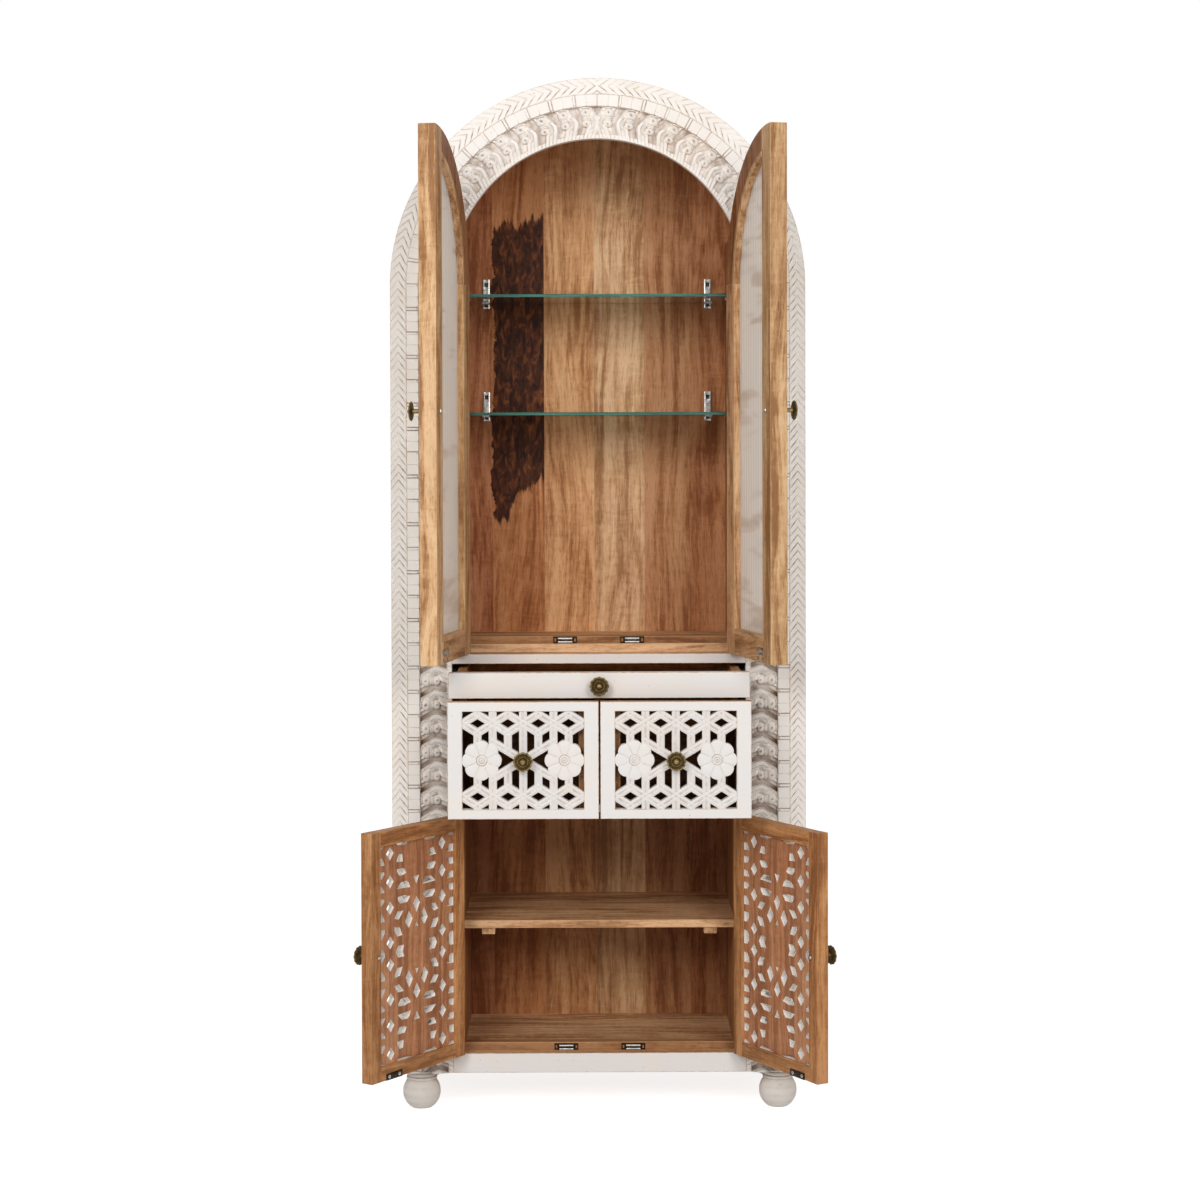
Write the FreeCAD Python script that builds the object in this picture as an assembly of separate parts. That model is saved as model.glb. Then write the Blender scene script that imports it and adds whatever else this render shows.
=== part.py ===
import FreeCAD, Part
import math
import os

# Overall sizes, in millimetres
overall_width = 760.0
overall_height = 1900.0
case_depth = 345.0

# Heights of the parts that stack up from the floor
foot_height = 74.0
bottom_rail_height = 36.0
lower_bay_height = 444.0
middle_rail_height = 15.0
fret_bay_height = 210.0
slim_bay_height = 49.0
upper_rail_height = 18.0

# Carved surround: three bands side by side, all of one board depth
chevron_width = 29.0
dentil_width = 23.0
bead_width = 58.0
surround_back = 22.0
chevron_front = -4.0
dentil_front = -4.0
dentil_block_front = -8.0
dentil_pitch = 43.0
dentil_block_length = 26.0
bead_front = -8.0
bead_lip = 5.0
bead_slope = 8.0

# Boards of the case
side_thickness = 18.0
wall_thickness = 18.0
ceiling_thickness = 12.0
lining_thickness = 19.0
back_thickness = 12.0
floor_thickness = 16.0
base_thickness = 16.0
cupboard_floor_rise = 18.0
shelf_thickness = 14.5
divider_thickness = 11.0
partition_thickness = 18.0
plank_widths = [57.0, 100.0, 101.0, 98.0, 98.0, 89.0, 99.0, 82.0]
lap_depth = 12.0

# Ball feet
foot_ball_radius = 35.0
foot_ball_centre = 30.0
foot_neck_radius = 19.0
foot_ring_radius = 4.5
foot_collar_radius = 29.0
foot_collar_height = 5.0
foot_ring_drop = 10.0
foot_inset_side = 49.0
foot_inset_front = 48.0
foot_inset_back = 52.0

# Shelves and their supports
cupboard_shelf_rise = 240.0
shelf_setback = 40.0
batten_width = 24.0
batten_height = 12.0
batten_inset = 33.0
batten_setback = 4.0
glass_thickness = 5.5
glass_shelf_drops = [230.0, 10.0]
glass_front = 75.0
glass_end_gap = 1.0
clip_inset = 34.0
clip_width = 14.0
clip_height = 57.0
clip_thickness = 2.0
clip_tab_length = 40.0
pin_radius = 3.0
pin_length = 12.0
pin_depth = 110.0

# Doors and drawers
side_gap = 3.0
meeting_gap = 3.0
level_gap = 2.0
upper_door_thickness = 31.0
upper_stile_width = 48.0
rebate_width = 9.0
rebate_start = 15.0
pane_thickness = 4.0
lower_door_thickness = 23.0
lower_stile_width = 26.0
fret_panel_thickness = 12.0
fret_tongue = 8.0
front_thickness = 20.0
drawer_back_gap = 13.0
box_side = 15.0
box_back = 12.0
box_bottom = 6.0
slide_gap = 12.7
slide_sheet = 1.5
slide_reach = 8.0
slide_running_gap = 0.4
slide_lip_gap = 1.0
slim_slide_half = 13.0
fret_slide_half = 17.5
front_clearance = 4.0
front_joint = 1.0
slim_box_rise = 5.0
slim_box_drop = 6.0
fret_box_rise = 6.0
fret_box_drop = 18.0

# How far each door and drawer stands open as stored
upper_left_open = 100.0
upper_right_open = 103.5
lower_left_open = 125.0
lower_right_open = 120.0
slim_pull = 155.0
fret_pull = 195.0

# Hinges, knobs, catches
hinge_length = 70.0
hinge_setout = 4.0
leaf_sheet = 1.2
leaf_width = 20.0
knuckle_radius = 3.5
hinge_pin_radius = 1.6
hinge_pin_play = 0.05
knuckle_gap = 0.3
upper_hinge_rise = 72.0
upper_hinge_drop = 70.0
lower_hinge_rise = 96.0
lower_hinge_drop = 90.0
knob_disc_radius = 14.5
knob_petals = 12
knob_petal_radius = 3.6
knob_petal_centre = 13.9
knob_disc_thickness = 4.0
knob_shank_radius = 4.5
knob_shank_length = 18.0
knob_base_radius = 7.0
knob_boss_radius = 5.5
knob_bolt_radius = 1.95
knob_bolt_hole = 2.25
knob_nut_bore = 2.0
knob_nut_radius = 4.5
knob_nut_length = 3.5
lower_knob_inset = 6.5
upper_knob_drop = 230.0
catch_centre = 62.0
catch_width = 44.0
catch_height = 12.0
catch_depth = 20.0
catch_roller_radius = 2.3
catch_roller_length = 26.0
catch_play = 0.2
catch_plate = 2.0
strike_width = 44.0
strike_height = 12.0
strike_sheet = 1.5

# Fret lattice of the drawer fronts, in cells
bar_width = 14.0
bar_lap = 1 / 3
rhombus_short = 0.31
rosette_ratio = 0.655
rosette_petals = 8
rosette_core = 0.78
petal_ratio = 0.34
rosette_offset = 1.36
knob_bar_rise = 0.6
bar_ends = {0.0: (0.0, 0.0), 0.5: (0.5, 0.3), 1.0: (1.0, 0.6), 1.5: (1.5, 0.45)}
rhombus_row = 1.21
half_rows = 1.614
lattice_cells = 4
drawer_side_border = 26.0
drawer_level_border = 17.0
hub_radius = 12.0
smallest_hole = 12.0

# Holes of a lower door's fret panel, from its middle, for a field of this width and height
door_fret_size = (213.5, 388.0)
door_quarter_holes = [
    [(74.0, 8.0), (84.5, 19.5), (74.0, 31.5), (63.5, 19.5)],
    [(74.0, 69.0), (84.5, 81.0), (74.0, 93.5), (63.5, 81.0)],
    [(74.0, 115.5), (84.5, 127.5), (74.0, 139.5), (63.5, 127.5)],
    [(74.0, 165.5), (84.5, 178.0), (74.0, 189.5), (63.5, 178.0)],
    [(106.75, 46.0), (89.5, 45.5), (89.0, 39.0), (97.0, 28.0), (106.75, 28.0)],
    [(106.75, 75.0), (98.0, 75.0), (90.0, 64.0), (89.5, 59.0), (106.75, 59.0)],
    [(106.75, 100.5), (91.0, 100.0), (90.0, 95.0), (97.0, 88.0), (106.75, 88.0)],
    [(106.75, 123.0), (97.0, 122.5), (90.0, 114.0), (89.5, 110.5), (106.75, 110.5)],
    [(106.75, 147.5), (90.0, 147.5), (89.5, 143.0), (96.0, 135.5), (106.75, 135.5)],
    [(106.75, 172.5), (96.0, 172.5), (90.0, 163.0), (89.5, 158.5), (106.75, 158.5)],
    [(106.75, 194.0), (88.0, 194.0), (97.0, 188.0), (106.75, 188.0)],
    [(40.0, 28.0), (55.0, 28.0), (62.5, 40.0), (62.0, 45.0), (47.0, 43.0)],
    [(36.5, 72.0), (54.0, 72.0), (63.0, 60.0), (50.0, 57.5)],
    [(17.0, 95.0), (34.0, 98.5), (52.5, 97.5), (53.0, 92.5), (46.0, 85.0), (26.0, 85.0)],
    [(17.5, 110.5), (55.0, 112.0), (43.0, 122.5), (27.0, 123.5), (21.0, 119.0)],
    [(29.0, 138.0), (35.0, 147.0), (54.5, 147.0), (55.0, 143.0), (49.0, 135.0), (36.0, 135.0)],
    [(38.0, 159.0), (56.5, 160.0), (49.5, 173.5), (39.5, 172.5)],
    [(12.0, 194.0), (32.0, 188.0), (52.0, 189.0), (57.0, 194.0)],
    [(22.0, 38.0), (32.5, 50.0), (21.5, 69.0), (11.0, 54.0)],
]
door_level_holes = [
    [(106.75, 12.5), (97.0, 12.5), (89.0, 3.5), (89.0, -3.5), (97.0, -12.5), (106.75, -12.5)],
    [(35.0, 10.5), (52.0, 10.5), (59.0, 0.0), (52.0, -10.5), (35.0, -10.5), (39.5, 0.0)],
]
door_upright_holes = [
    [(0.0, 47.0), (-5.0, 37.5), (5.0, 37.5)],
    [(0.0, 63.0), (10.0, 79.5), (0.0, 92.0), (-10.0, 79.5)],
    [(0.0, 113.5), (8.0, 129.0), (-8.0, 129.0)],
]

# Heights and places that follow from the sizes above
arch_radius = overall_width / 2
spring_height = overall_height - arch_radius
opening_half = arch_radius - chevron_width - dentil_width - bead_width
bead_outer = opening_half + bead_width
dentil_outer = bead_outer + dentil_width
bottom_rail_top = foot_height + bottom_rail_height
middle_rail_bottom = bottom_rail_top + lower_bay_height
middle_rail_top = middle_rail_bottom + middle_rail_height
fret_bay_top = middle_rail_top + fret_bay_height
upper_rail_bottom = fret_bay_top + slim_bay_height
upper_rail_top = upper_rail_bottom + upper_rail_height
display_floor_top = upper_rail_top + floor_thickness
base_top = foot_height + base_thickness
cupboard_floor_top = base_top + cupboard_floor_rise
back_front = case_depth - back_thickness
upper_stop = upper_door_thickness + level_gap
lower_stop = lower_door_thickness + level_gap
lining_face = opening_half - lining_thickness
door_far = opening_half - side_gap
door_near = meeting_gap / 2
hinge_x = opening_half - side_gap / 2
hinge_y = -hinge_setout
drawer_far = opening_half - level_gap
drawer_length = back_front - front_thickness - drawer_back_gap
upper_door_bottom = upper_rail_top + level_gap
lower_door_bottom = bottom_rail_top + level_gap
lower_door_top = middle_rail_bottom - level_gap
lower_knob_height = (lower_door_bottom + lower_door_top) / 2
lower_knob_x = door_near + lower_stile_width - lower_knob_inset
upper_knob_height = spring_height - upper_knob_drop
upper_knob_x = door_near + upper_stile_width / 2
upper_hinge_low = upper_door_bottom + upper_hinge_rise
upper_hinge_high = spring_height - upper_hinge_drop
upper_hinge_heights = [upper_hinge_low, (upper_hinge_low + upper_hinge_high) / 2, upper_hinge_high]
lower_hinge_heights = [lower_door_bottom + lower_hinge_rise, lower_door_top - lower_hinge_drop]
slim_front_bottom = fret_bay_top + front_joint
slim_front_top = upper_rail_bottom - level_gap
fret_front_bottom = middle_rail_top + level_gap
fret_front_top = fret_bay_top - front_joint
divider_top = fret_bay_top
divider_bottom = divider_top - divider_thickness
case_inside = arch_radius - side_thickness

# The origin is under the middle of the footprint with the doors standing open
open_angle = math.radians(upper_left_open)
swing_reach = (hinge_x - door_near) * math.sin(open_angle)
swing_reach -= (hinge_setout + upper_door_thickness) * math.cos(open_angle)
front_reach = hinge_setout + swing_reach
front_plane_y = (front_reach - case_depth) / 2

nodes = {}


def point(x, y, z):
    return FreeCAD.Vector(x, y, z)


def block(x0, x1, y0, y1, z0, z1):
    """Board with square corners."""
    return Part.makeBox(x1 - x0, y1 - y0, z1 - z0, point(x0, y0, z0))


def rod(radius, start, end):
    """Round bar from one point to another."""
    run = end - start
    return Part.makeCylinder(radius, run.Length, start, run)


def both_sides(shape):
    """A piece on the right and its twin on the left."""
    return [shape, mirrored(shape)]


def mirrored(shape):
    return shape.mirror(point(0, 0, 0), point(1, 0, 0))


def strip_section(corners, height):
    """Cross-section of a surround strip, standing at one height."""
    ring = [point(x, y, height) for x, y in corners]
    ring.append(ring[0])
    return Part.Face(Part.makePolygon(ring))


def rectangle(x0, x1, y0, y1):
    return [(x0, y0), (x1, y0), (x1, y1), (x0, y1)]


def post_strip(corners, bottom):
    """Straight run of a strip, up to the spring of the arch."""
    section = strip_section(corners, bottom)
    return section.extrude(point(0, 0, spring_height - bottom))


def arch_strip(corners):
    """Half-round run of a strip, over the arch."""
    section = strip_section(corners, spring_height)
    return section.revolve(point(0, 0, spring_height), point(0, -1, 0), 180)


def case_boards():
    """Sides, roof, back, inner walls and floors of the case."""
    side = block(case_inside, arch_radius, surround_back, case_depth, foot_height, spring_height)
    nodes["right_side_panel"] = [side]
    nodes["left_side_panel"] = [mirrored(side)]
    nodes["arched_roof"] = [arch_strip(rectangle(case_inside, arch_radius, surround_back, case_depth))]
    wall_outer = opening_half + wall_thickness
    wall = block(opening_half, wall_outer, surround_back, back_front, base_top, spring_height)
    nodes["inner_walls"] = both_sides(wall)
    ceiling_outer = opening_half + ceiling_thickness
    nodes["arched_ceiling"] = [arch_strip(rectangle(opening_half, ceiling_outer, surround_back, back_front))]
    base = block(-case_inside, case_inside, lower_stop, back_front, foot_height, base_top)
    floor = block(-opening_half, opening_half, lower_stop, back_front, base_top, cupboard_floor_top)
    nodes["bottom_boards"] = [base, floor]
    low = middle_rail_bottom
    ceiling = block(-opening_half, opening_half, surround_back, back_front, low, middle_rail_top)
    nodes["cupboard_ceiling"] = [ceiling]
    display = block(-opening_half, opening_half, upper_stop, back_front, upper_rail_top, display_floor_top)
    nodes["display_floor"] = [display]


def back_planks():
    """Upright planks that close the back, rounded off under the roof."""
    dome = rod(case_inside, point(0, back_front, spring_height), point(0, case_depth, spring_height))
    planks = []
    left = -case_inside
    while left < case_inside:
        width = plank_widths[len(planks) % len(plank_widths)]
        right = min(left + width, case_inside)
        low = block(left, right, back_front, case_depth, foot_height, spring_height)
        high = block(left, right, back_front, case_depth, spring_height, overall_height)
        plank = low.fuse(high.common(dome)).removeSplitter()
        planks.append(plank)
        left = right
    nodes["back_boards"] = planks


def linings():
    """Boards inside both compartments that the closed doors rest against."""
    tall = block(lining_face, opening_half, upper_stop, back_front, display_floor_top, overall_height)
    low = block(lining_face, opening_half, upper_stop, back_front, display_floor_top, spring_height)
    dome = rod(opening_half, point(0, upper_stop, spring_height), point(0, back_front, spring_height))
    upper = low.fuse(tall.common(dome)).removeSplitter()
    lower = block(lining_face, opening_half, lower_stop, back_front, cupboard_floor_top, middle_rail_bottom)
    nodes["lining_boards"] = both_sides(upper) + both_sides(lower)


def rails_and_dividers():
    """Painted rails across the front and the boards between the drawers."""
    bottom = block(-opening_half, opening_half, 0, lower_stop, foot_height, bottom_rail_top)
    middle = block(-opening_half, opening_half, 0, surround_back, middle_rail_bottom, middle_rail_top)
    upper = block(-opening_half, opening_half, 0, upper_stop + lap_depth, upper_rail_bottom, upper_rail_top)
    nodes["front_rails"] = [bottom, middle, upper]
    behind_fronts = front_thickness + front_clearance
    divider = block(-opening_half, opening_half, behind_fronts, back_front, divider_bottom, divider_top)
    half = partition_thickness / 2
    partition = block(-half, half, behind_fronts, back_front, middle_rail_top, divider_bottom)
    nodes["drawer_dividers"] = [divider, partition]


def shelves():
    """Wooden cupboard shelf, two glass shelves and what carries them."""
    shelf_top = cupboard_floor_top + cupboard_shelf_rise
    shelf_bottom = shelf_top - shelf_thickness
    shelf = block(-lining_face, lining_face, shelf_setback, back_front, shelf_bottom, shelf_top)
    nodes["cupboard_shelf"] = [shelf]
    outer = lining_face - batten_inset
    inner = outer - batten_width
    batten_front = shelf_setback + batten_setback
    batten = block(inner, outer, batten_front, back_front, shelf_bottom - batten_height, shelf_bottom)
    nodes["shelf_battens"] = both_sides(batten)
    glass_half = lining_face - glass_end_gap
    clip_face = back_front - clip_thickness
    sheets = []
    supports = []
    for drop in glass_shelf_drops:
        height = spring_height - drop
        under = height - glass_thickness
        sheets.append(block(-glass_half, glass_half, glass_front, clip_face, under, height))
        supports += both_sides(shelf_clip(under, clip_face))
        pin_start = point(lining_face, pin_depth, under - pin_radius)
        pin_end = point(lining_face - pin_length, pin_depth, under - pin_radius)
        supports += both_sides(rod(pin_radius, pin_start, pin_end))
    nodes["glass_shelves"] = sheets
    nodes["shelf_clips"] = supports


def shelf_clip(under, clip_face):
    """Metal strip on the back wall with a tab bent out under the glass."""
    centre = lining_face - clip_inset
    left = centre - clip_width / 2
    right = centre + clip_width / 2
    low = under - clip_height / 2
    strip = block(left, right, clip_face, back_front, low, low + clip_height)
    tab = block(left, right, clip_face - clip_tab_length, clip_face, under - clip_thickness, under)
    return strip.fuse(tab).removeSplitter()


def ball_foot():
    """Turned foot: flattened ball, ringed neck and collar."""
    ball = Part.makeSphere(foot_ball_radius, point(0, 0, foot_ball_centre))
    keep = block(-foot_ball_radius, foot_ball_radius, -foot_ball_radius, foot_ball_radius, 0, foot_height)
    ball = ball.common(keep)
    neck = rod(foot_neck_radius, point(0, 0, foot_ball_centre), point(0, 0, foot_height))
    ring_height = foot_height - foot_ring_drop
    ring = Part.makeTorus(foot_neck_radius, foot_ring_radius, point(0, 0, ring_height))
    collar_bottom = foot_height - foot_collar_height
    collar = rod(foot_collar_radius, point(0, 0, collar_bottom), point(0, 0, foot_height))
    return ball.fuse([neck, ring, collar]).removeSplitter()


def feet():
    """Four feet under the corners of the base board."""
    across = arch_radius - foot_inset_side
    solids = []
    for depth in (foot_inset_front, case_depth - foot_inset_back):
        foot = ball_foot()
        foot.translate(point(across, depth, 0))
        solids += both_sides(foot)
    nodes["ball_feet"] = solids


def surround():
    """Three carved bands that run up the posts and over the arch."""
    chevron = rectangle(dentil_outer, arch_radius, chevron_front, surround_back)
    nodes["chevron_posts"] = both_sides(post_strip(chevron, foot_height))
    nodes["chevron_arch"] = [arch_strip(chevron)]
    dentil = rectangle(bead_outer, dentil_outer, dentil_front, surround_back)
    nodes["dentil_posts"] = both_sides(post_strip(dentil, foot_height).fuse(post_dentils()).removeSplitter())
    nodes["dentil_arch"] = [arch_strip(dentil).fuse(arch_dentils()).removeSplitter()]
    crest = opening_half + bead_lip + bead_slope
    bead = [(opening_half, surround_back), (opening_half, 0)]
    bead += [(opening_half + bead_lip, 0), (crest, bead_front)]
    bead += [(bead_outer, bead_front), (bead_outer, surround_back)]
    nodes["bead_posts"] = both_sides(post_strip(bead, foot_height))
    nodes["bead_arch"] = [arch_strip(bead)]


def post_dentils():
    """Raised blocks up one post."""
    run = spring_height - foot_height
    count = int(run / dentil_pitch)
    pitch = run / count
    blocks = []
    for step in range(count):
        low = foot_height + (step + 0.5) * pitch - dentil_block_length / 2
        high = low + dentil_block_length
        raised = block(bead_outer, dentil_outer, dentil_block_front, dentil_front, low, high)
        blocks.append(raised)
    return blocks


def arch_dentils():
    """Raised blocks round the arch."""
    middle_radius = (bead_outer + dentil_outer) / 2
    count = int(math.pi * middle_radius / dentil_pitch)
    pitch_angle = 180.0 / count
    block_angle = math.degrees(dentil_block_length / middle_radius)
    centre = point(0, 0, spring_height)
    axis = point(0, -1, 0)
    blocks = []
    for step in range(count):
        section = strip_section(
            rectangle(bead_outer, dentil_outer, dentil_block_front, dentil_front), spring_height
        )
        raised = section.revolve(centre, axis, block_angle)
        raised.rotate(centre, axis, (step + 0.5) * pitch_angle - block_angle / 2)
        blocks.append(raised)
    return blocks


def roller_catch(front, floor_top):
    """Double-roller catch standing on a floor board behind the doors."""
    half = catch_width / 2
    body_half = catch_roller_length / 2 + catch_plate
    face = front + 2 * catch_roller_radius
    back = front + catch_depth
    plate_top = floor_top + catch_plate
    plate = block(-half, half, face, back, floor_top, plate_top)
    body = block(-body_half, body_half, face, back, plate_top, floor_top + catch_height)
    solids = [plate.fuse(body).removeSplitter()]
    roller_half = catch_roller_length / 2
    for rise in (catch_roller_radius + 0.5, catch_height - catch_roller_radius - 0.5):
        height = floor_top + rise
        depth = front + catch_roller_radius
        left_end = point(-roller_half, depth, height)
        right_end = point(roller_half, depth, height)
        solids.append(rod(catch_roller_radius, left_end, right_end))
    return solids


def catches():
    solids = []
    places = [(upper_stop + catch_play, display_floor_top), (lower_stop + catch_play, cupboard_floor_top)]
    for front, floor_top in places:
        for solid in roller_catch(front, floor_top):
            solid.translate(point(catch_centre, 0, 0))
            solids += both_sides(solid)
    nodes["door_catches"] = solids


def hinge_leaf(height, inner, outer, spans, with_pin):
    """One leaf of a butt hinge on the left, with the knuckles that belong to it."""
    low = height - hinge_length / 2
    leaf = block(-hinge_x + inner, -hinge_x + outer, 0.2, leaf_width, low, low + hinge_length)
    pieces = []
    bore_radius = hinge_pin_radius + hinge_pin_play
    for start, end in spans:
        bottom = point(-hinge_x, hinge_y, low + start)
        top = point(-hinge_x, hinge_y, low + end)
        neck_back = hinge_y + knuckle_radius - 1
        neck = block(-hinge_x + inner, -hinge_x + outer, neck_back, 0.5, low + start, low + end)
        knuckle = rod(knuckle_radius, bottom, top).fuse(neck)
        pieces.append(knuckle if with_pin else knuckle.cut(rod(bore_radius, bottom, top)))
    if with_pin:
        pin_bottom = point(-hinge_x, hinge_y, low)
        pieces.append(rod(hinge_pin_radius, pin_bottom, pin_bottom + point(0, 0, hinge_length)))
    return leaf.fuse(pieces).removeSplitter()


def frame_leaves():
    """Fixed hinge leaves on both posts, with the pins."""
    third = hinge_length / 3
    spans = [(0, third - knuckle_gap), (2 * third + knuckle_gap, hinge_length)]
    reach = side_gap / 2
    solids = []
    for height in upper_hinge_heights + lower_hinge_heights:
        leaf = hinge_leaf(height, -reach, leaf_sheet - reach, spans, True)
        solids += both_sides(leaf)
    nodes["frame_hinge_leaves"] = solids


def door_leaf(height):
    """Moving hinge leaf on a left-hand door."""
    third = hinge_length / 3
    reach = side_gap / 2
    return hinge_leaf(height, reach - leaf_sheet, reach, [(third, 2 * third)], False)


def knob(x, z, wood):
    """Petalled knob on a front, bolted through the wood to a nut behind."""
    disc_back = -knob_shank_length
    disc_front = disc_back - knob_disc_thickness
    disc = rod(knob_disc_radius, point(x, disc_front, z), point(x, disc_back, z))
    parts = []
    for step in range(knob_petals):
        turn = 2 * math.pi * step / knob_petals
        px = x + knob_petal_centre * math.cos(turn)
        pz = z + knob_petal_centre * math.sin(turn)
        parts.append(rod(knob_petal_radius, point(px, disc_front, pz), point(px, disc_back, pz)))
    parts.append(Part.makeSphere(knob_boss_radius, point(x, disc_front + 1, z)))
    parts.append(rod(knob_shank_radius, point(x, disc_back, z), point(x, 0, z)))
    parts.append(rod(knob_base_radius, point(x, -3, z), point(x, 0, z)))
    bolt_end = wood + knob_nut_length + 1
    parts.append(rod(knob_bolt_radius, point(x, -1, z), point(x, bolt_end, z)))
    body = disc.fuse(parts).removeSplitter()
    nut = rod(knob_nut_radius, point(x, wood, z), point(x, wood + knob_nut_length, z))
    bore = rod(knob_nut_bore, point(x, wood - 1, z), point(x, bolt_end + 1, z))
    return [body, nut.cut(bore)]


def bolt_hole(x, z, wood):
    return rod(knob_bolt_hole, point(x, -1, z), point(x, wood + 1, z))


def half_arch_layer(inset, y0, y1):
    """Layer shaped like the left upper door, smaller all round by an inset."""
    far = -door_far + inset
    near = -door_near - inset
    low = upper_door_bottom + inset
    radius = door_far - inset
    straight = block(far, near, y0, y1, low, spring_height)
    dome = rod(radius, point(0, y0, spring_height), point(0, y1, spring_height))
    head = dome.common(block(far, near, y0, y1, spring_height, overall_height))
    return straight.fuse(head).removeSplitter()


def upper_door():
    """Left upper door, closed: joined frame, pane, beads, knob and fittings."""
    wood = upper_door_thickness
    edge = upper_stile_width
    frame = half_arch_layer(0, 0, wood)
    frame = frame.cut(half_arch_layer(edge, -1, wood + 1))
    frame = frame.cut(half_arch_layer(edge - rebate_width, rebate_start, wood + 1))
    frame = frame.cut(bolt_hole(-upper_knob_x, upper_knob_height, wood))
    pane_back = rebate_start + pane_thickness
    bead = half_arch_layer(edge - rebate_width, pane_back, wood)
    bead = bead.cut(half_arch_layer(edge, pane_back - 1, wood + 1))
    stile_inner = -door_far + edge
    meeting_inner = -door_near - edge
    low = upper_door_bottom
    zones = [
        block(-door_far, stile_inner, 0, wood, low, spring_height),
        block(meeting_inner, -door_near, 0, wood, low, overall_height),
        block(stile_inner, meeting_inner, 0, wood, low, low + edge),
        block(-door_far, meeting_inner, 0, wood, spring_height, overall_height),
    ]
    frame_pieces = [frame.common(zone) for zone in zones]
    bead_pieces = [bead.common(zone) for zone in zones]
    strike = strike_plate(wood, display_floor_top)
    leaves = [door_leaf(height) for height in upper_hinge_heights]
    return {
        "stiles": frame_pieces[:2],
        "rails": frame_pieces[2:],
        "glass": [half_arch_layer(edge - rebate_width, rebate_start, pane_back)],
        "beads": bead_pieces,
        "knob": knob(-upper_knob_x, upper_knob_height, wood),
        "fittings": leaves + [strike],
    }


def strike_plate(wood, low):
    """Plate on the back of a left-hand door that meets the catch."""
    left = -catch_centre - strike_width / 2
    return block(left, left + strike_width, wood, wood + strike_sheet, low, low + strike_height)


def lower_door():
    """Left lower door, closed: joined frame round a fret panel."""
    wood = lower_door_thickness
    edge = lower_stile_width
    low = lower_door_bottom
    high = lower_door_top
    stile_inner = -door_far + edge
    meeting_inner = -door_near - edge
    panel_front = (wood - fret_panel_thickness) / 2
    panel_back = panel_front + fret_panel_thickness
    panel_left = stile_inner - fret_tongue
    panel_right = meeting_inner + fret_tongue
    panel_low = low + edge - fret_tongue
    panel_high = high - edge + fret_tongue
    groove = block(panel_left, panel_right, panel_front, panel_back, panel_low, panel_high)
    hole = bolt_hole(-lower_knob_x, lower_knob_height, wood)
    hinge_stile = block(-door_far, stile_inner, 0, wood, low, high).cut(groove)
    meeting_stile = block(meeting_inner, -door_near, 0, wood, low, high).cut(groove).cut(hole)
    bottom_rail = block(stile_inner, meeting_inner, 0, wood, low, low + edge).cut(groove)
    top_rail = block(stile_inner, meeting_inner, 0, wood, high - edge, high).cut(groove)
    outline = (panel_left, panel_right, panel_low, panel_high)
    field = (stile_inner, meeting_inner, low + edge, high - edge)
    panel = fret_plate(outline, door_holes(field, panel_front), panel_front, panel_back).cut(hole)
    leaves = [door_leaf(height) for height in lower_hinge_heights]
    return {
        "stiles": [hinge_stile, meeting_stile],
        "rails": [bottom_rail, top_rail],
        "fret_panel": [panel],
        "knob": knob(-lower_knob_x, lower_knob_height, wood),
        "fittings": leaves + [strike_plate(wood, low)],
    }


def door_holes(field, y):
    """Hole outlines of a door panel: one quarter of the pattern mirrored over both middle lines."""
    middle_x = (field[0] + field[1]) / 2
    middle_z = (field[2] + field[3]) / 2
    stretch_x = (field[1] - field[0]) / door_fret_size[0]
    stretch_z = (field[3] - field[2]) / door_fret_size[1]
    both = (1, -1)
    wires = []
    for holes, sides, levels in (
        (door_quarter_holes, both, both),
        (door_level_holes, both, (1,)),
        (door_upright_holes, (1,), both),
    ):
        for hole in holes:
            for side in sides:
                for level in levels:
                    ring = []
                    for x, z in hole + hole[:1]:
                        ring.append(point(middle_x + side * x * stretch_x, y, middle_z + level * z * stretch_z))
                    wires.append(Part.makePolygon(ring))
    return wires


def rhombus(middle, row):
    """Four bars round a rhombus one cell long."""
    corners = ((0.5, 0), (0, rhombus_short), (-0.5, 0), (0, -rhombus_short))
    ring = [(middle + along, row + across) for along, across in corners]
    return [(ring[i], ring[(i + 1) % 4]) for i in range(4)]


def bar_end(run, sign):
    """Where an upright bar ends near the middle line of the lattice."""
    along, across = bar_ends[abs(run)]
    return math.copysign(along, run), sign * across


def lattice_bars():
    """Centre lines of the bars of a drawer front: rhombi above and below, a cross behind the knob."""
    bars = []
    for sign in (1, -1):
        row = sign * rhombus_row
        for cell in range(lattice_cells):
            middle = cell + 0.5 - lattice_cells / 2
            bars += rhombus(middle, row)
            bars.append(((middle, row + sign * rhombus_short), (middle, sign * half_rows)))
            bars.append(((middle, row - sign * rhombus_short), bar_end(middle, sign)))
        for joint in range(1, lattice_cells):
            run = joint - lattice_cells / 2
            bars.append(((run, sign * half_rows), (run, row)))
            bars.append(((run, row), bar_end(run, sign)))
        bars.append(((-1.0, -sign * knob_bar_rise), (1.0, sign * knob_bar_rise)))
    return bars


def lattice_holes(field, y):
    """Hole outlines of a drawer front: what its bars, rosettes and knob disc leave open."""
    middle_x = (field[0] + field[1]) / 2
    middle_z = (field[2] + field[3]) / 2
    pitch = (field[1] - field[0]) / lattice_cells
    row_pitch = (field[3] - field[2]) / 2 / half_rows

    def place(run, side):
        return point(middle_x + run * pitch, y, middle_z + side * row_pitch)

    kept = [bar_face(place(*start), place(*end), bar_width) for start, end in lattice_bars()]
    for sign in (1, -1):
        kept += rosette_faces(place(sign * rosette_offset, 0), rosette_ratio * min(pitch, row_pitch))
    kept.append(disc_face(place(0, 0), hub_radius))
    pierced = flat_rectangle(field, y).cut(kept)
    return [hole.OuterWire for hole in pierced.Faces if hole.Area > smallest_hole]


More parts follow.
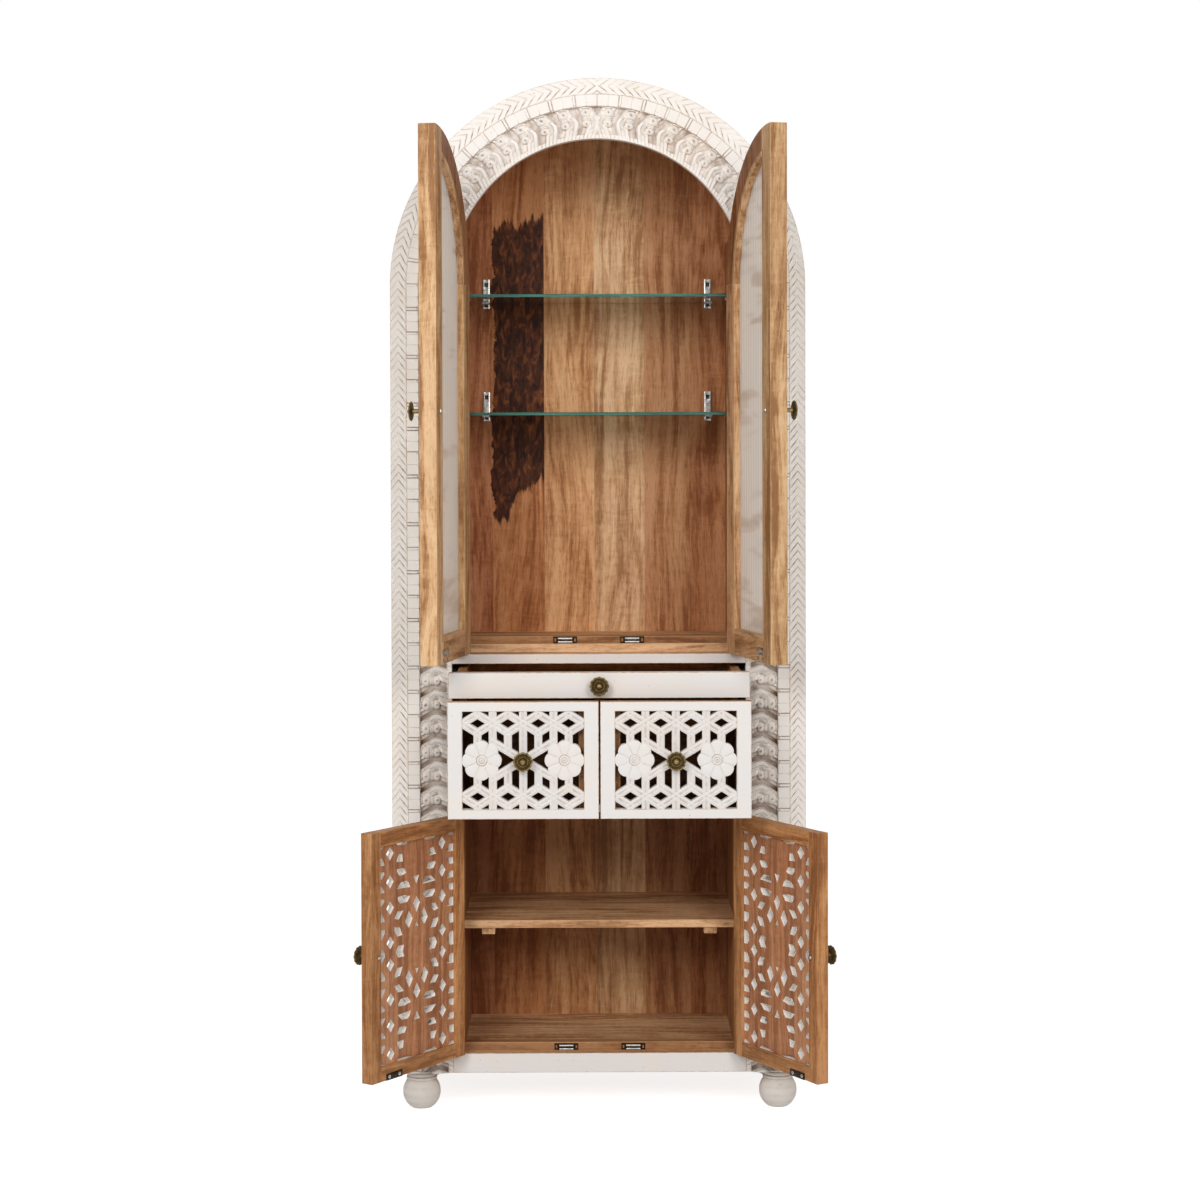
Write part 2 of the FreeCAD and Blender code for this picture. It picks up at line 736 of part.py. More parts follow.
def fret_plate(outline, holes, y0, y1):
    """Plate pierced by a set of hole outlines."""
    wires = [flat_rectangle(outline, y0).OuterWire] + holes
    plate = Part.makeFace(wires, "Part::FaceMakerBullseye")
    return plate.extrude(point(0, y1 - y0, 0))


def flat_rectangle(extent, y):
    x0, x1, z0, z1 = extent
    ring = [point(x0, y, z0), point(x1, y, z0), point(x1, y, z1), point(x0, y, z1), point(x0, y, z0)]
    return Part.Face(Part.makePolygon(ring))


def bar_face(start, end, width):
    """Face of one straight bar, run on a little past both ends."""
    along = (end - start).normalize()
    across = along.cross(point(0, 1, 0)) * (width / 2)
    lap = along * (width * bar_lap)
    ring = [start - lap + across, end + lap + across, end + lap - across, start - lap - across]
    ring.append(ring[0])
    return Part.Face(Part.makePolygon(ring))


def disc_face(centre, radius):
    circle = Part.Circle(centre, point(0, 1, 0), radius)
    return Part.Face(Part.Wire(circle.toShape()))


def rosette_faces(centre, reach):
    """Eight round petals about a centre disc."""
    petal = reach * petal_ratio
    faces = [disc_face(centre, reach * rosette_core)]
    for step in range(rosette_petals):
        turn = 2 * math.pi * step / rosette_petals
        ring = reach - petal
        offset = point(math.cos(turn) * ring, 0, math.sin(turn) * ring)
        faces.append(disc_face(centre + offset, petal))
    return faces


def drawer_box(x0, x1, z0, z1):
    """Sides, back and bottom of a drawer behind its front."""
    y0 = front_thickness
    y1 = y0 + drawer_length
    left = block(x0, x0 + box_side, y0, y1, z0, z1)
    right = block(x1 - box_side, x1, y0, y1, z0, z1)
    back = block(x0 + box_side, x1 - box_side, y1 - box_back, y1, z0, z1)
    bottom = block(x0 + box_side, x1 - box_side, y0, y1 - box_back, z0, z0 + box_bottom)
    return [left, right, back, bottom]


def slide_pair(wall, toward, height, half_height):
    """Ball slide on one side: the rail on the case and the runner on the drawer."""
    y0 = front_thickness + front_clearance
    y1 = front_thickness + drawer_length
    inner_half = half_height - slide_sheet
    runner_half = inner_half - slide_running_gap
    rail = channel(wall, toward, 0, slide_sheet, slide_reach, height, half_height, y0, y1)
    web = slide_gap - slide_sheet
    lip = slide_gap - slide_reach - slide_lip_gap
    runner = channel(wall, toward, web, slide_gap, lip, height, runner_half, y0, y1)
    return rail, runner


def channel(wall, toward, web0, web1, lip, height, half, y0, y1):
    """Folded channel: an upright web and two level lips."""
    web = sided_block(wall, toward, web0, web1, y0, y1, height - half, height + half)
    start = min(web0, lip)
    end = max(web1, lip)
    low = sided_block(wall, toward, start, end, y0, y1, height - half, height - half + slide_sheet)
    high = sided_block(wall, toward, start, end, y0, y1, height + half - slide_sheet, height + half)
    return web.fuse([low, high]).removeSplitter()


def sided_block(wall, toward, out0, out1, y0, y1, z0, z1):
    first = wall + toward * out0
    second = wall + toward * out1
    return block(min(first, second), max(first, second), y0, y1, z0, z1)


def slim_drawer():
    """Full-width shallow drawer, closed."""
    wood = front_thickness
    height = (slim_front_bottom + slim_front_top) / 2
    front = block(-drawer_far, drawer_far, 0, wood, slim_front_bottom, slim_front_top)
    box_far = opening_half - slide_gap
    box_low = slim_front_bottom + slim_box_rise
    box_high = slim_front_top - slim_box_drop
    left_rail, left_runner = slide_pair(-opening_half, 1, height, slim_slide_half)
    right_rail, right_runner = slide_pair(opening_half, -1, height, slim_slide_half)
    pieces = {
        "front": [front.cut(bolt_hole(0, height, wood))],
        "box": drawer_box(-box_far, box_far, box_low, box_high),
        "knob": knob(0, height, wood),
        "runners": [left_runner, right_runner],
    }
    return pieces, [left_rail, right_rail]


def fret_drawer():
    """Left fret drawer, closed."""
    wood = front_thickness
    low = fret_front_bottom
    high = fret_front_top
    middle_x = -(drawer_far + door_near) / 2
    middle_z = (low + high) / 2
    outline = (-drawer_far, -door_near, low, high)
    field = (
        -drawer_far + drawer_side_border,
        -door_near - drawer_side_border,
        low + drawer_level_border,
        high - drawer_level_border,
    )
    front = fret_plate(outline, lattice_holes(field, 0), 0, wood)
    partition_face = partition_thickness / 2
    left_rail, left_runner = slide_pair(-opening_half, 1, middle_z, fret_slide_half)
    right_rail, right_runner = slide_pair(-partition_face, -1, middle_z, fret_slide_half)
    box_left = -opening_half + slide_gap
    box_right = -partition_face - slide_gap
    box = drawer_box(box_left, box_right, low + fret_box_rise, high - fret_box_drop)
    pieces = {
        "fret_front": [front.cut(bolt_hole(middle_x, middle_z, wood))],
        "box": box,
        "knob": knob(middle_x, middle_z, wood),
        "runners": [left_runner, right_runner],
    }
    return pieces, [left_rail, right_rail]


def add_door(name, pieces, sign, open_angle):
    """Store a door, swung open on its hinge pins."""
    for piece, solids in pieces.items():
        placed = []
        for solid in solids:
            copy = solid.copy() if sign < 0 else mirrored(solid)
            copy.rotate(point(sign * hinge_x, hinge_y, 0), point(0, 0, 1), sign * open_angle)
            placed.append(copy)
        nodes[name + "_" + piece] = placed


def add_drawer(name, pieces, mirror, pull):
    """Store a drawer, pulled out on its slides."""
    for piece, solids in pieces.items():
        placed = []
        for solid in solids:
            copy = mirrored(solid) if mirror else solid.copy()
            copy.translate(point(0, -pull, 0))
            placed.append(copy)
        nodes[name + "_" + piece] = placed


case_boards()
back_planks()
linings()
rails_and_dividers()
shelves()
feet()
surround()
catches()
frame_leaves()
upper_pieces = upper_door()
add_door("upper_left", upper_pieces, -1, upper_left_open)
add_door("upper_right", upper_pieces, 1, upper_right_open)
lower_pieces = lower_door()
add_door("lower_left", lower_pieces, -1, lower_left_open)
add_door("lower_right", lower_pieces, 1, lower_right_open)
slim_pieces, slim_rails = slim_drawer()
add_drawer("slim_drawer", slim_pieces, False, slim_pull)
fret_pieces, fret_rails = fret_drawer()
add_drawer("left_drawer", fret_pieces, False, fret_pull)
add_drawer("right_drawer", fret_pieces, True, fret_pull)
nodes["slide_rails"] = slim_rails + fret_rails + [mirrored(rail) for rail in fret_rails]

os.makedirs("parts", exist_ok=True)
for name, solids in nodes.items():
    group = Part.makeCompound(solids)
    group.translate(point(0, front_plane_y, 0))
    group.exportStep("parts/" + name + ".step")
print(len(nodes), "pieces, front plane at", round(front_plane_y, 3))
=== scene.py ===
import math
import random
import bmesh
import bpy
from mathutils import Matrix, Vector


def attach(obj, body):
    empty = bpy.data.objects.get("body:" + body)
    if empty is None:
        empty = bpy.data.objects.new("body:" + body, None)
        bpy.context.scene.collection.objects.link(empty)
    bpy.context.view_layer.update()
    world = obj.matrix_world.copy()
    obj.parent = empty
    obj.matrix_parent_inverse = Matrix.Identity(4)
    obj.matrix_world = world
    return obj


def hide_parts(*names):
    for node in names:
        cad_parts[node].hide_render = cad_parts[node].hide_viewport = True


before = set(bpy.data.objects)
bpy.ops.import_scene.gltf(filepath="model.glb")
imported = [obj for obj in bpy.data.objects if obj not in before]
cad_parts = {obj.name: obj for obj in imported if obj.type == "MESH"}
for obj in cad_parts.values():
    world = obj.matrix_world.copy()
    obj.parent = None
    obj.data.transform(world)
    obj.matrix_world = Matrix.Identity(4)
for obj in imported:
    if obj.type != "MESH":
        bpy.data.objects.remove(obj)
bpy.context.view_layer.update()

# Boards inside the case
# Sawn boards of oiled mango wood: inner walls, linings, floors, dividers, shelf and arched ceiling.
# They are glued and screwed together behind the carved front, with their edges eased by sanding.
front_plane = -0.035989
merge_distance = 0.000001
flat_angle = math.radians(0.3)
edge_angle = math.radians(30)
board_smooth = 16
shortest_eased_edge = 0.006
board_ease = 0.0009
facing = 0.9
ceiling_inner = 0.309
ceiling_outer = 0.321
ceiling_spring = 1.520
ceiling_ledge = 0.012
ceiling_gap = 0.0002
ledge_inner = 0.289
ceiling_front = front_plane + 0.0222
ceiling_back = front_plane + 0.3328
ceiling_steps = 48
wall_tones = [(0.58, 0.47, 0.38)]
# Each noise gives its stretch along three axes, its detail and its twist; the figure has weights first.
sway_stretch = (1.6, 4.0, 4.0)
sway_reach = (0.04, 0.085, 0.085)
figure_noises = [
    (0.44, (1.5, 24.0, 24.0), 6.0, 0.8),
    (0.28, (5.0, 95.0, 95.0), 4.0, 0.4),
    (0.18, (34.0, 290.0, 290.0), 3.0, 0.5),
    (0.10, (60.0, 20.0, 20.0), 3.0, 1.4),
]
fleck_number = 2
ring_noise = ((0.9, 6.5, 6.5), 1.5, 0.4)
ring_count = 90.0
ring_weight = 0.022
patch_noise = ((3.2, 7.0, 7.0), 3.0, 0.6)
pore_noise = ((60.0, 700.0, 700.0), 2.0)
fibre_noise = ((11.0, 430.0, 430.0), 3.0)
wood_stops = (0.435, 0.5, 0.57)
wood_patches = (0.4, 0.7, 0.22)
wood_pores = (0.56, 0.66, 0.3)
pore_colour = (66, 36, 20)
edge_rub = 0.35
wood_gloss_change = 0.25
wood_gloss_drop = 0.12
wood_bump = (0.22, 0.0005)
wood_shine = 0.12
grain_starts = (0, 9)
tone_levels = (0.9, 1.08)
tone_greens = (0.96, 1.0)
tone_blues = (0.92, 1.0)


def tint(red, green, blue):
    """Colour for a shader, from the numbers of a colour chart."""
    parts = []
    for value in (red, green, blue):
        share = value / 255
        parts.append(share / 12.92 if share <= 0.04045 else ((share + 0.055) / 1.055) ** 2.4)
    return (*parts, 1.0)


def feed(tree, node, inputs):
    """Fills inputs of a shader node, each with a plain value or another node's output."""
    for name, value in inputs.items():
        if isinstance(value, bpy.types.NodeSocket):
            tree.links.new(value, node.inputs[name])
        else:
            node.inputs[name].default_value = value


def shade(tree, kind, inputs, **settings):
    """Outputs of a new shader node."""
    node = tree.nodes.new(kind)
    for name, value in settings.items():
        setattr(node, name, value)
    feed(tree, node, inputs)
    return node.outputs


def object_place(tree):
    return shade(tree, "ShaderNodeTexCoord", {})["Object"]


def attribute(tree, name, output):
    return shade(tree, "ShaderNodeAttribute", {}, attribute_name=name)[output]


def mixed(tree, share, first, second, blend="MIX"):
    """Colour between two colours."""
    inputs = {0: share, 6: first, 7: second}
    return shade(tree, "ShaderNodeMix", inputs, data_type="RGBA", blend_type=blend)[2]


def worked(tree, operation, first, second=0.0, third=0.0, clamp=True):
    """Result of a sum on shader values, kept between 0 and 1 unless it may run past them."""
    inputs = {0: first, 1: second, 2: third}
    return shade(tree, "ShaderNodeMath", inputs, operation=operation, use_clamp=clamp)[0]


def times(tree, first, second, added=0.0, clamp=True):
    """Product of two shader values with a third one added."""
    return worked(tree, "MULTIPLY_ADD", first, second, added, clamp)


def between(tree, value, low, high):
    """Soft step from 0 at one value to 1 at another."""
    inputs = {"Value": value, "From Min": low, "From Max": high}
    return shade(tree, "ShaderNodeMapRange", inputs, interpolation_type="SMOOTHSTEP")["Result"]


def mottle(tree, place, stretch, detail, twist=0.0):
    """Noise drawn out by a different amount along each axis."""
    mapped = shade(tree, "ShaderNodeMapping", {"Vector": place, "Scale": stretch})["Vector"]
    inputs = {"Vector": mapped, "Scale": 1.0, "Detail": detail, "Roughness": 0.6, "Distortion": twist}
    return shade(tree, "ShaderNodeTexNoise", inputs)["Fac"]


def coated(tree, under, noise, limits, colour, blend="MIX"):
    """Colour laid over another where a noise is high: from one limit, full at the next, and how strong."""
    low, high, strength = limits
    share = times(tree, between(tree, noise, low, high), strength)
    return mixed(tree, share, under, tint(*colour), blend)


def ramp(tree, share, stops):
    """Colour that runs through a list of stops."""
    node = tree.nodes.new("ShaderNodeValToRGB")
    feed(tree, node, {"Fac": share})
    while len(node.color_ramp.elements) < len(stops):
        node.color_ramp.elements.new(0.5)
    for element, (place, colour) in zip(node.color_ramp.elements, stops):
        element.position = place
        element.color = tint(*colour)
    return node.outputs["Color"]


def bumped(tree, strength, distance, height):
    inputs = {"Strength": strength, "Distance": distance, "Height": height}
    return shade(tree, "ShaderNodeBump", inputs)["Normal"]


def new_finish(name):
    material = bpy.data.materials.new(name)
    material.use_nodes = True
    return material, material.node_tree, material.node_tree.nodes["Principled BSDF"]


def wood_finish(name, pale, middle, dark, roughness):
    """Oiled mango wood: wavy figure, growth bands, flecks and pores, and a tone for each board."""
    material, tree, shader = new_finish(name)
    grain = attribute(tree, "grain", "Vector")
    sway = shade(tree, "ShaderNodeMapping", {"Vector": grain, "Scale": sway_stretch})["Vector"]
    sway = shade(tree, "ShaderNodeTexNoise", {"Vector": sway, "Scale": 1.0, "Detail": 2.0})["Color"]
    sway_inputs = {0: sway, 1: sway_reach, 2: grain}
    wavy = shade(tree, "ShaderNodeVectorMath", sway_inputs, operation="MULTIPLY_ADD")["Vector"]
    share = 0.0
    noises = []
    for weight, *noise in figure_noises:
        noises.append(mottle(tree, wavy, *noise))
        share = times(tree, noises[-1], weight, share)
    contour = times(tree, mottle(tree, wavy, *ring_noise), ring_count, clamp=False)
    share = times(tree, worked(tree, "SINE", contour, clamp=False), ring_weight, share)
    figured = ramp(tree, share, list(zip(wood_stops, (pale, middle, dark))))
    toned = mixed(tree, 1.0, figured, attribute(tree, "tone", "Vector"), "MULTIPLY")
    patched = coated(tree, toned, mottle(tree, wavy, *patch_noise), wood_patches, dark, "MULTIPLY")
    pored = coated(tree, patched, mottle(tree, grain, *pore_noise), wood_pores, pore_colour)
    edge_share = times(tree, attribute(tree, "rub", "Fac"), edge_rub)
    fibre = mottle(tree, grain, *fibre_noise)
    inputs = {
        "Base Color": mixed(tree, edge_share, pored, tint(*pale)),
        "Roughness": times(tree, fibre, wood_gloss_change, roughness - wood_gloss_drop),
        "Normal": bumped(tree, *wood_bump, noises[fleck_number]),
        "Specular IOR Level": wood_shine,
    }
    feed(tree, shader, inputs)
    return material


def solid_runs(node):
    """Face numbers of each solid of a CAD piece: its triangles follow one another until they close."""
    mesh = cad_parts[node].data
    runs = []
    run = []
    open_edges = set()
    for polygon in mesh.polygons:
        corners = [tuple(mesh.vertices[index].co) for index in polygon.vertices]
        for pair in zip(corners, corners[1:] + corners[:1]):
            open_edges ^= {frozenset(pair)}
        run.append(polygon.index)
        if not open_edges:
            runs.append(run)
            run = []
    return runs


def islands(shape):
    """Groups of vertices that hang together, in the order of the mesh."""
    seen = set()
    groups = []
    for vert in shape.verts:
        if vert in seen:
            continue
        seen.add(vert)
        group = []
        waiting = [vert]
        while waiting:
            here = waiting.pop()
            group.append(here)
            for edge in here.link_edges:
                other = edge.other_vert(here)
                if other not in seen:
                    seen.add(other)
                    waiting.append(other)
        groups.append(group)
    return groups


def lay_grain(shape, turn, draw, tones=None):
    """Runs the grain along each board, from a place and with a tone of its own."""
    grain = shape.verts.layers.float_vector.new("grain")
    tone = shape.verts.layers.float_vector.new("tone")
    unturn = Matrix.Rotation(-turn, 3, "Z")
    groups = sorted(islands(shape), key=lambda group: min(vert.co.x for vert in group))
    for number, group in enumerate(groups):
        places = [unturn @ vert.co for vert in group]
        lows = [min(place[axis] for place in places) for axis in range(3)]
        highs = [max(place[axis] for place in places) for axis in range(3)]
        axes = sorted(range(3), key=lambda axis: lows[axis] - highs[axis])
        start = Vector([draw.uniform(*grain_starts) for axis in axes])
        level = draw.uniform(*tone_levels)
        board_tone = Vector((level, level * draw.uniform(*tone_greens), level * draw.uniform(*tone_blues)))
        if tones:
            board_tone = Vector(tones[number % len(tones)])
        for vert, place in zip(group, places):
            vert[grain] = Vector([place[axis] for axis in axes]) + start
            vert[tone] = board_tone


def copy_boards(node):
    """Copy of a CAD piece with each of its boards closed by itself."""
    shape = bmesh.new()
    shape.from_mesh(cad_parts[node].data)
    shape.faces.ensure_lookup_table()
    solids = [[shape.faces[index] for index in run] for run in solid_runs(node)]
    for faces in solids:
        corners = list(dict.fromkeys(vert for face in faces for vert in face.verts))
        bmesh.ops.remove_doubles(shape, verts=corners, dist=merge_distance)
    bmesh.ops.dissolve_limit(shape, angle_limit=flat_angle, verts=shape.verts, edges=shape.edges)
    shape.normal_update()
    return shape


def rounded(shape, edges, width, finish=-1, steps=2, clamp=False):
    """Rounds edges and gives the faces that this makes."""
    made = bmesh.ops.bevel(
        shape,
        geom=edges,
        offset=width,
        affect="EDGES",
        segments=steps,
        profile=0.5,
        material=finish,
        clamp_overlap=clamp,
    )
    return made["faces"]


def ease_edges(shape, width):
    """Rounds the long sharp edges a little and marks them as rubbed."""
    rub = shape.loops.layers.float.new("rub")
    sharp = []
    for edge in shape.edges:
        is_long = edge.calc_length() > shortest_eased_edge
        if is_long and edge.is_manifold and edge.calc_face_angle() > edge_angle:
            sharp.append(edge)
    for face in rounded(shape, sharp, width, clamp=True):
        for loop in face.loops:
            loop[rub] = 1.0


def settle(shape, place):
    """Moves a shape to its place, with its faces outward again if that mirrors it."""
    bmesh.ops.transform(shape, matrix=place, verts=shape.verts)
    if place.determinant() < 0:
        bmesh.ops.reverse_faces(shape, faces=shape.faces)
    shape.normal_update()


def kept_mesh(shape, name):
    """Mesh of a finished shape."""
    mesh = bpy.data.meshes.new(name)
    shape.to_mesh(mesh)
    shape.free()
    return mesh


def add_object(name, data):
    item = bpy.data.objects.new(name, data)
    bpy.context.scene.collection.objects.link(item)
    return item


def finish_piece(shape, name, finishes, body, nodes, smooth=board_smooth, place=None):
    """Turns a shape, moved to its place, into a piece that rides on a body and stands for CAD nodes."""
    if place is not None:
        settle(shape, place)
    mesh = kept_mesh(shape, name)
    for finish in finishes:
        mesh.materials.append(finish)
    mesh.shade_smooth()
    mesh.set_sharp_from_angle(angle=math.radians(smooth))
    piece = add_object(name, mesh)
    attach(piece, body)
    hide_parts(*nodes)


def boards(node, body, finishes, draw, turn=0.0, tones=None, painted=None):
    """Piece of eased boards in place of a CAD piece; the second finish goes on its painted side."""
    shape = copy_boards(node)
    if painted:
        for face in shape.faces:
            if face.normal.dot(painted) > facing:
                face.material_index = 1
    ease_edges(shape, board_ease)
    lay_grain(shape, turn, draw, tones)
    finish_piece(shape, node + "_eased", finishes, body, [node])


def block(lows, highs):
    """Sawn block between two corners."""
    shape = bmesh.new()
    size = Vector(highs) - Vector(lows)
    middle = (Vector(highs) + Vector(lows)) / 2
    bmesh.ops.create_cube(shape, size=1.0, matrix=Matrix.Translation(middle) @ Matrix.Diagonal((*size, 1)))
    return shape


def whole(shape):
    return shape.verts[:] + shape.edges[:] + shape.faces[:]


def raised_ceiling():
    """Bent ceiling board, wider than the opening so that it can't be seen from the front, on two ledges."""
    lows = (ledge_inner, ceiling_front, ceiling_spring - ceiling_ledge)
    shape = block(lows, (ceiling_outer, ceiling_back, ceiling_spring - ceiling_gap))
    bmesh.ops.mirror(shape, geom=whole(shape), matrix=Matrix.Identity(4), axis="X")
    corners = [(ceiling_inner, ceiling_front), (ceiling_outer, ceiling_front)]
    corners += [(ceiling_outer, ceiling_back), (ceiling_inner, ceiling_back)]
    section = shape.faces.new([shape.verts.new((x, y, ceiling_spring)) for x, y in corners])
    bmesh.ops.spin(
        shape,
        geom=[section, *section.edges, *section.verts],
        cent=(0, 0, ceiling_spring),
        axis=(0, -1, 0),
        angle=math.pi,
        steps=ceiling_steps,
    )
    bmesh.ops.recalc_face_normals(shape, faces=shape.faces)
    return shape


inside_wood = wood_finish("inside mango wood", (230, 190, 148), (208, 164, 122), (164, 120, 84), 0.55)
board_draw = random.Random(11)
inside_nodes = ["display_floor", "drawer_dividers", "cupboard_ceiling", "bottom_boards"]
inside_nodes += ["cupboard_shelf", "shelf_battens"]
for inside_node in inside_nodes:
    boards(inside_node, "cabinet", [inside_wood], board_draw)
for inside_node in ("inner_walls", "lining_boards"):
    boards(inside_node, "cabinet", [inside_wood], board_draw, tones=wall_tones)
ceiling = raised_ceiling()
ease_edges(ceiling, board_ease)
lay_grain(ceiling, 0.0, board_draw)
finish_piece(ceiling, "raised_ceiling", [inside_wood], "cabinet", ["arched_ceiling"])

# Back planks
# Eight upright mango planks of mixed colour close the back; one has a wide streak of dark heartwood
# with a ragged edge on its left and a straight joint on its right.
plank_tones = [
    (0.70, 0.52, 0.48), (0.78, 0.57, 0.54), (0.90, 0.71, 0.61), (1.08, 1.03, 1.00),
    (1.08, 1.18, 1.32), (0.80, 0.69, 0.66), (0.77, 0.60, 0.55), (0.70, 0.56, 0.50),
]
heart_left = -0.2035
heart_right = -0.1042
heart_low = 1.075
heart_high = 1.665
heart_taper = 0.9
heart_ragged = 0.045
heart_ends = 0.12
heart_stops = [(0.38, (44, 20, 10)), (0.53, (80, 42, 23)), (0.68, (132, 76, 40))]
ragged_noise = ((22.0, 1.0, 19.0), 6.0, 0.6)
torn_noise = ((60.0, 1.0, 9.0), 5.0, 0.6)
blotch_noise = ((95.0, 1.0, 40.0), 7.0, 0.7)
edge_soft = 0.001
joint_soft = 0.0004
end_soft = 0.006
# Painted shade: below these heights the back planks are multiplied darker, for the shade that the drawers
# cast into the cupboard.
cupboard_shade = (0.72, 0.62)
cupboard_shade_colour = (214, 208, 200)
plank_wood = wood_finish("back plank wood", (230, 184, 136), (208, 156, 108), (166, 114, 72), 0.5)


def step(tree, value, middle, soft):
    """Soft step up round a middle value, or down where soft is negative."""
    return between(tree, value, middle - soft, middle + soft)


def add_heartwood_and_shade(finish):
    """Dark streak inside one plank, ragged on its left and at its ends, and painted shade that darkens the
    planks low down, in the cupboard under the drawers.
    """
    tree = finish.node_tree
    shader = tree.nodes["Principled BSDF"]
    plain = shader.inputs["Base Color"].links[0].from_socket
    place = object_place(tree)
    split = shade(tree, "ShaderNodeSeparateXYZ", {"Vector": place})
    edge = times(tree, mottle(tree, place, *ragged_noise), heart_ragged, split["X"], False)
    high_end = times(tree, mottle(tree, place, *torn_noise), heart_ends, split["Z"], False)
    low_end = times(tree, split["X"], -heart_taper, high_end, False)
    low_start = heart_low + heart_ends / 2 - heart_taper * heart_left
    from_left = step(tree, edge, heart_left + heart_ragged / 2, edge_soft)
    to_right = step(tree, split["X"], heart_right, -joint_soft)
    from_low = step(tree, low_end, low_start, end_soft)
    to_high = step(tree, high_end, heart_high + heart_ends / 2, -end_soft)
    share = times(tree, times(tree, from_left, to_right), times(tree, from_low, to_high))
    dark = ramp(tree, mottle(tree, place, *blotch_noise), heart_stops)
    # Painted shade: the planks low down are darkened for the shade under the drawers.
    shade_share = between(tree, split["Z"], *cupboard_shade)
    lower = mixed(tree, shade_share, plain, tint(*cupboard_shade_colour), "MULTIPLY")
    feed(tree, shader, {"Base Color": mixed(tree, share, lower, dark)})


add_heartwood_and_shade(plank_wood)
boards("back_boards", "cabinet", [plank_wood], board_draw, tones=plank_tones)

# Painted case
# Side panels, arched roof and the three rails across the front, brushed with a thin white wash over
# mango wood, so that the grain shows faintly and the arrises are rubbed back to ochre.
wash_white = (250, 244, 237)
dimmed_white = (233, 229, 226)
wash_grey = (233, 225, 217)
wash_warm = (240, 229, 217)
rub_ochre = (190, 150, 104)
soil_brown = (180, 138, 98)
# Dark brown of the deepest recesses: partly dirt, partly painted shade.
dark_soil_and_shade = (108, 79, 58)
streak_noise = ((8.0, 210.0, 210.0), 3.0, 0.2)
cloud_noise = ((9.0, 9.0, 9.0), 3.0)
fine_noise = ((95.0, 95.0, 95.0), 4.0)
speck_noise = ((230.0, 230.0, 230.0), 1.0)
fade_noise = ((26.0, 26.0, 13.0), 3.0)
wash_streaks = (0.42, 0.72, 0.4)
wash_clouds = (0.4, 0.75, 0.6)
wash_specks = (0.76, 0.79, 0.7)
rub_limits = (0.35, 0.7)
soil_and_shade_limits = (0.3, 0.7)
fade_limits = (0.4, 0.6)
soil_and_shade_power = 3.0
soil_and_shade_halves = 0.5
rub_cloud = 0.5
wash_gloss = (0.25, 0.5)
wash_heights = (0.6, 0.4)
wash_bump = (0.16, 0.0006)
wash_shine = 0.2


def whitewash_finish(name, white):
    """Thin white wash: faint grain, clouds, ochre on rubbed edges and brown in the recesses, darkest in the
    deepest ones, partly dirt and partly painted shade.
    """
    material, tree, shader = new_finish(name)
    soil_and_shade = attribute(tree, "soil_and_shade", "Fac")
    place = object_place(tree)
    streak = mottle(tree, attribute(tree, "grain", "Vector"), *streak_noise)
    cloud = mottle(tree, place, *cloud_noise)
    fine = mottle(tree, place, *fine_noise)
    washed = coated(tree, tint(*white), streak, wash_streaks, wash_grey)
    clouded = coated(tree, washed, cloud, wash_clouds, wash_warm)
    specked = coated(tree, clouded, mottle(tree, place, *speck_noise), wash_specks, soil_brown)
    rub_level = times(tree, cloud, rub_cloud, between(tree, fine, *rub_limits))
    rub_share = times(tree, attribute(tree, "rub", "Fac"), rub_level)
    rubbed = mixed(tree, rub_share, specked, tint(*rub_ochre))
    faded = between(tree, mottle(tree, place, *fade_noise), *fade_limits)
    soil_and_shade_level = times(tree, faded, soil_and_shade_halves)
    soil_and_shade_level = times(tree, between(tree, fine, *soil_and_shade_limits), soil_and_shade_halves, soil_and_shade_level)
    soil_and_shade_level = worked(tree, "MAXIMUM", soil_and_shade_level, worked(tree, "POWER", soil_and_shade, soil_and_shade_power))
    # Painted shade and dirt: the recess mark runs the colour from brown to dark brown.
    soil_and_shade_colour = mixed(tree, soil_and_shade, tint(*soil_brown), tint(*dark_soil_and_shade))
    height = times(tree, streak, wash_heights[0], times(tree, fine, wash_heights[1]))
    inputs = {
        "Base Color": mixed(tree, times(tree, soil_and_shade, soil_and_shade_level), rubbed, soil_and_shade_colour),
        "Roughness": times(tree, fine, *wash_gloss),
        "Normal": bumped(tree, *wash_bump, height),
        "Specular IOR Level": wash_shine,
    }
    feed(tree, shader, inputs)
    return material


whitewash = whitewash_finish("white wash", wash_white)
# A dimmer copy of the same white wash, on the front rails and the drawer fronts; on the rails the dimming
# is painted shade for the shade that falls on them.
dimmed_wash = whitewash_finish("front wash", dimmed_white)
paint_draw = random.Random(23)
for painted_node in ("left_side_panel", "right_side_panel", "arched_roof"):
    boards(painted_node, "cabinet", [whitewash], paint_draw)
# The front rails take the dimmer wash as painted shade; their tops stay oiled.
rail_finishes = [dimmed_wash, inside_wood]
boards("front_rails", "cabinet", rail_finishes, paint_draw, painted=Vector((0, 0, 1)))

# Ball feet
# Four feet turned from one block each: a flattened ball, a ringed neck and a collar that is screwed
# up into the base board.
foot_steps = 40
foot_smooth = 40
ball_radius = 0.035
ball_centre = 0.030
ball_steps = 12
ball_start = -57
ball_sweep = 98
ball_soils = [0.22, 0.05, 0.05]
foot_sole = [(0.0, 0.0, 0.6), (0.0165, 0.0, 0.6)]
foot_neck = [
    (0.0262, 0.0533, 0.9), (0.0280, 0.0542, 0.0), (0.0287, 0.0558, 0.0), (0.0280, 0.0578, 0.0),
    (0.0258, 0.0588, 0.9), (0.0260, 0.0596, 0.7), (0.0274, 0.0606, 0.0), (0.0278, 0.0628, 0.0),
    (0.0268, 0.0648, 0.0), (0.0244, 0.0660, 0.9), (0.0246, 0.0670, 0.7), (0.0285, 0.0680, 0.0),
    (0.0290, 0.0690, 0.0), (0.0290, 0.0740, 0.0), (0.0000, 0.0740, 0.0),
]
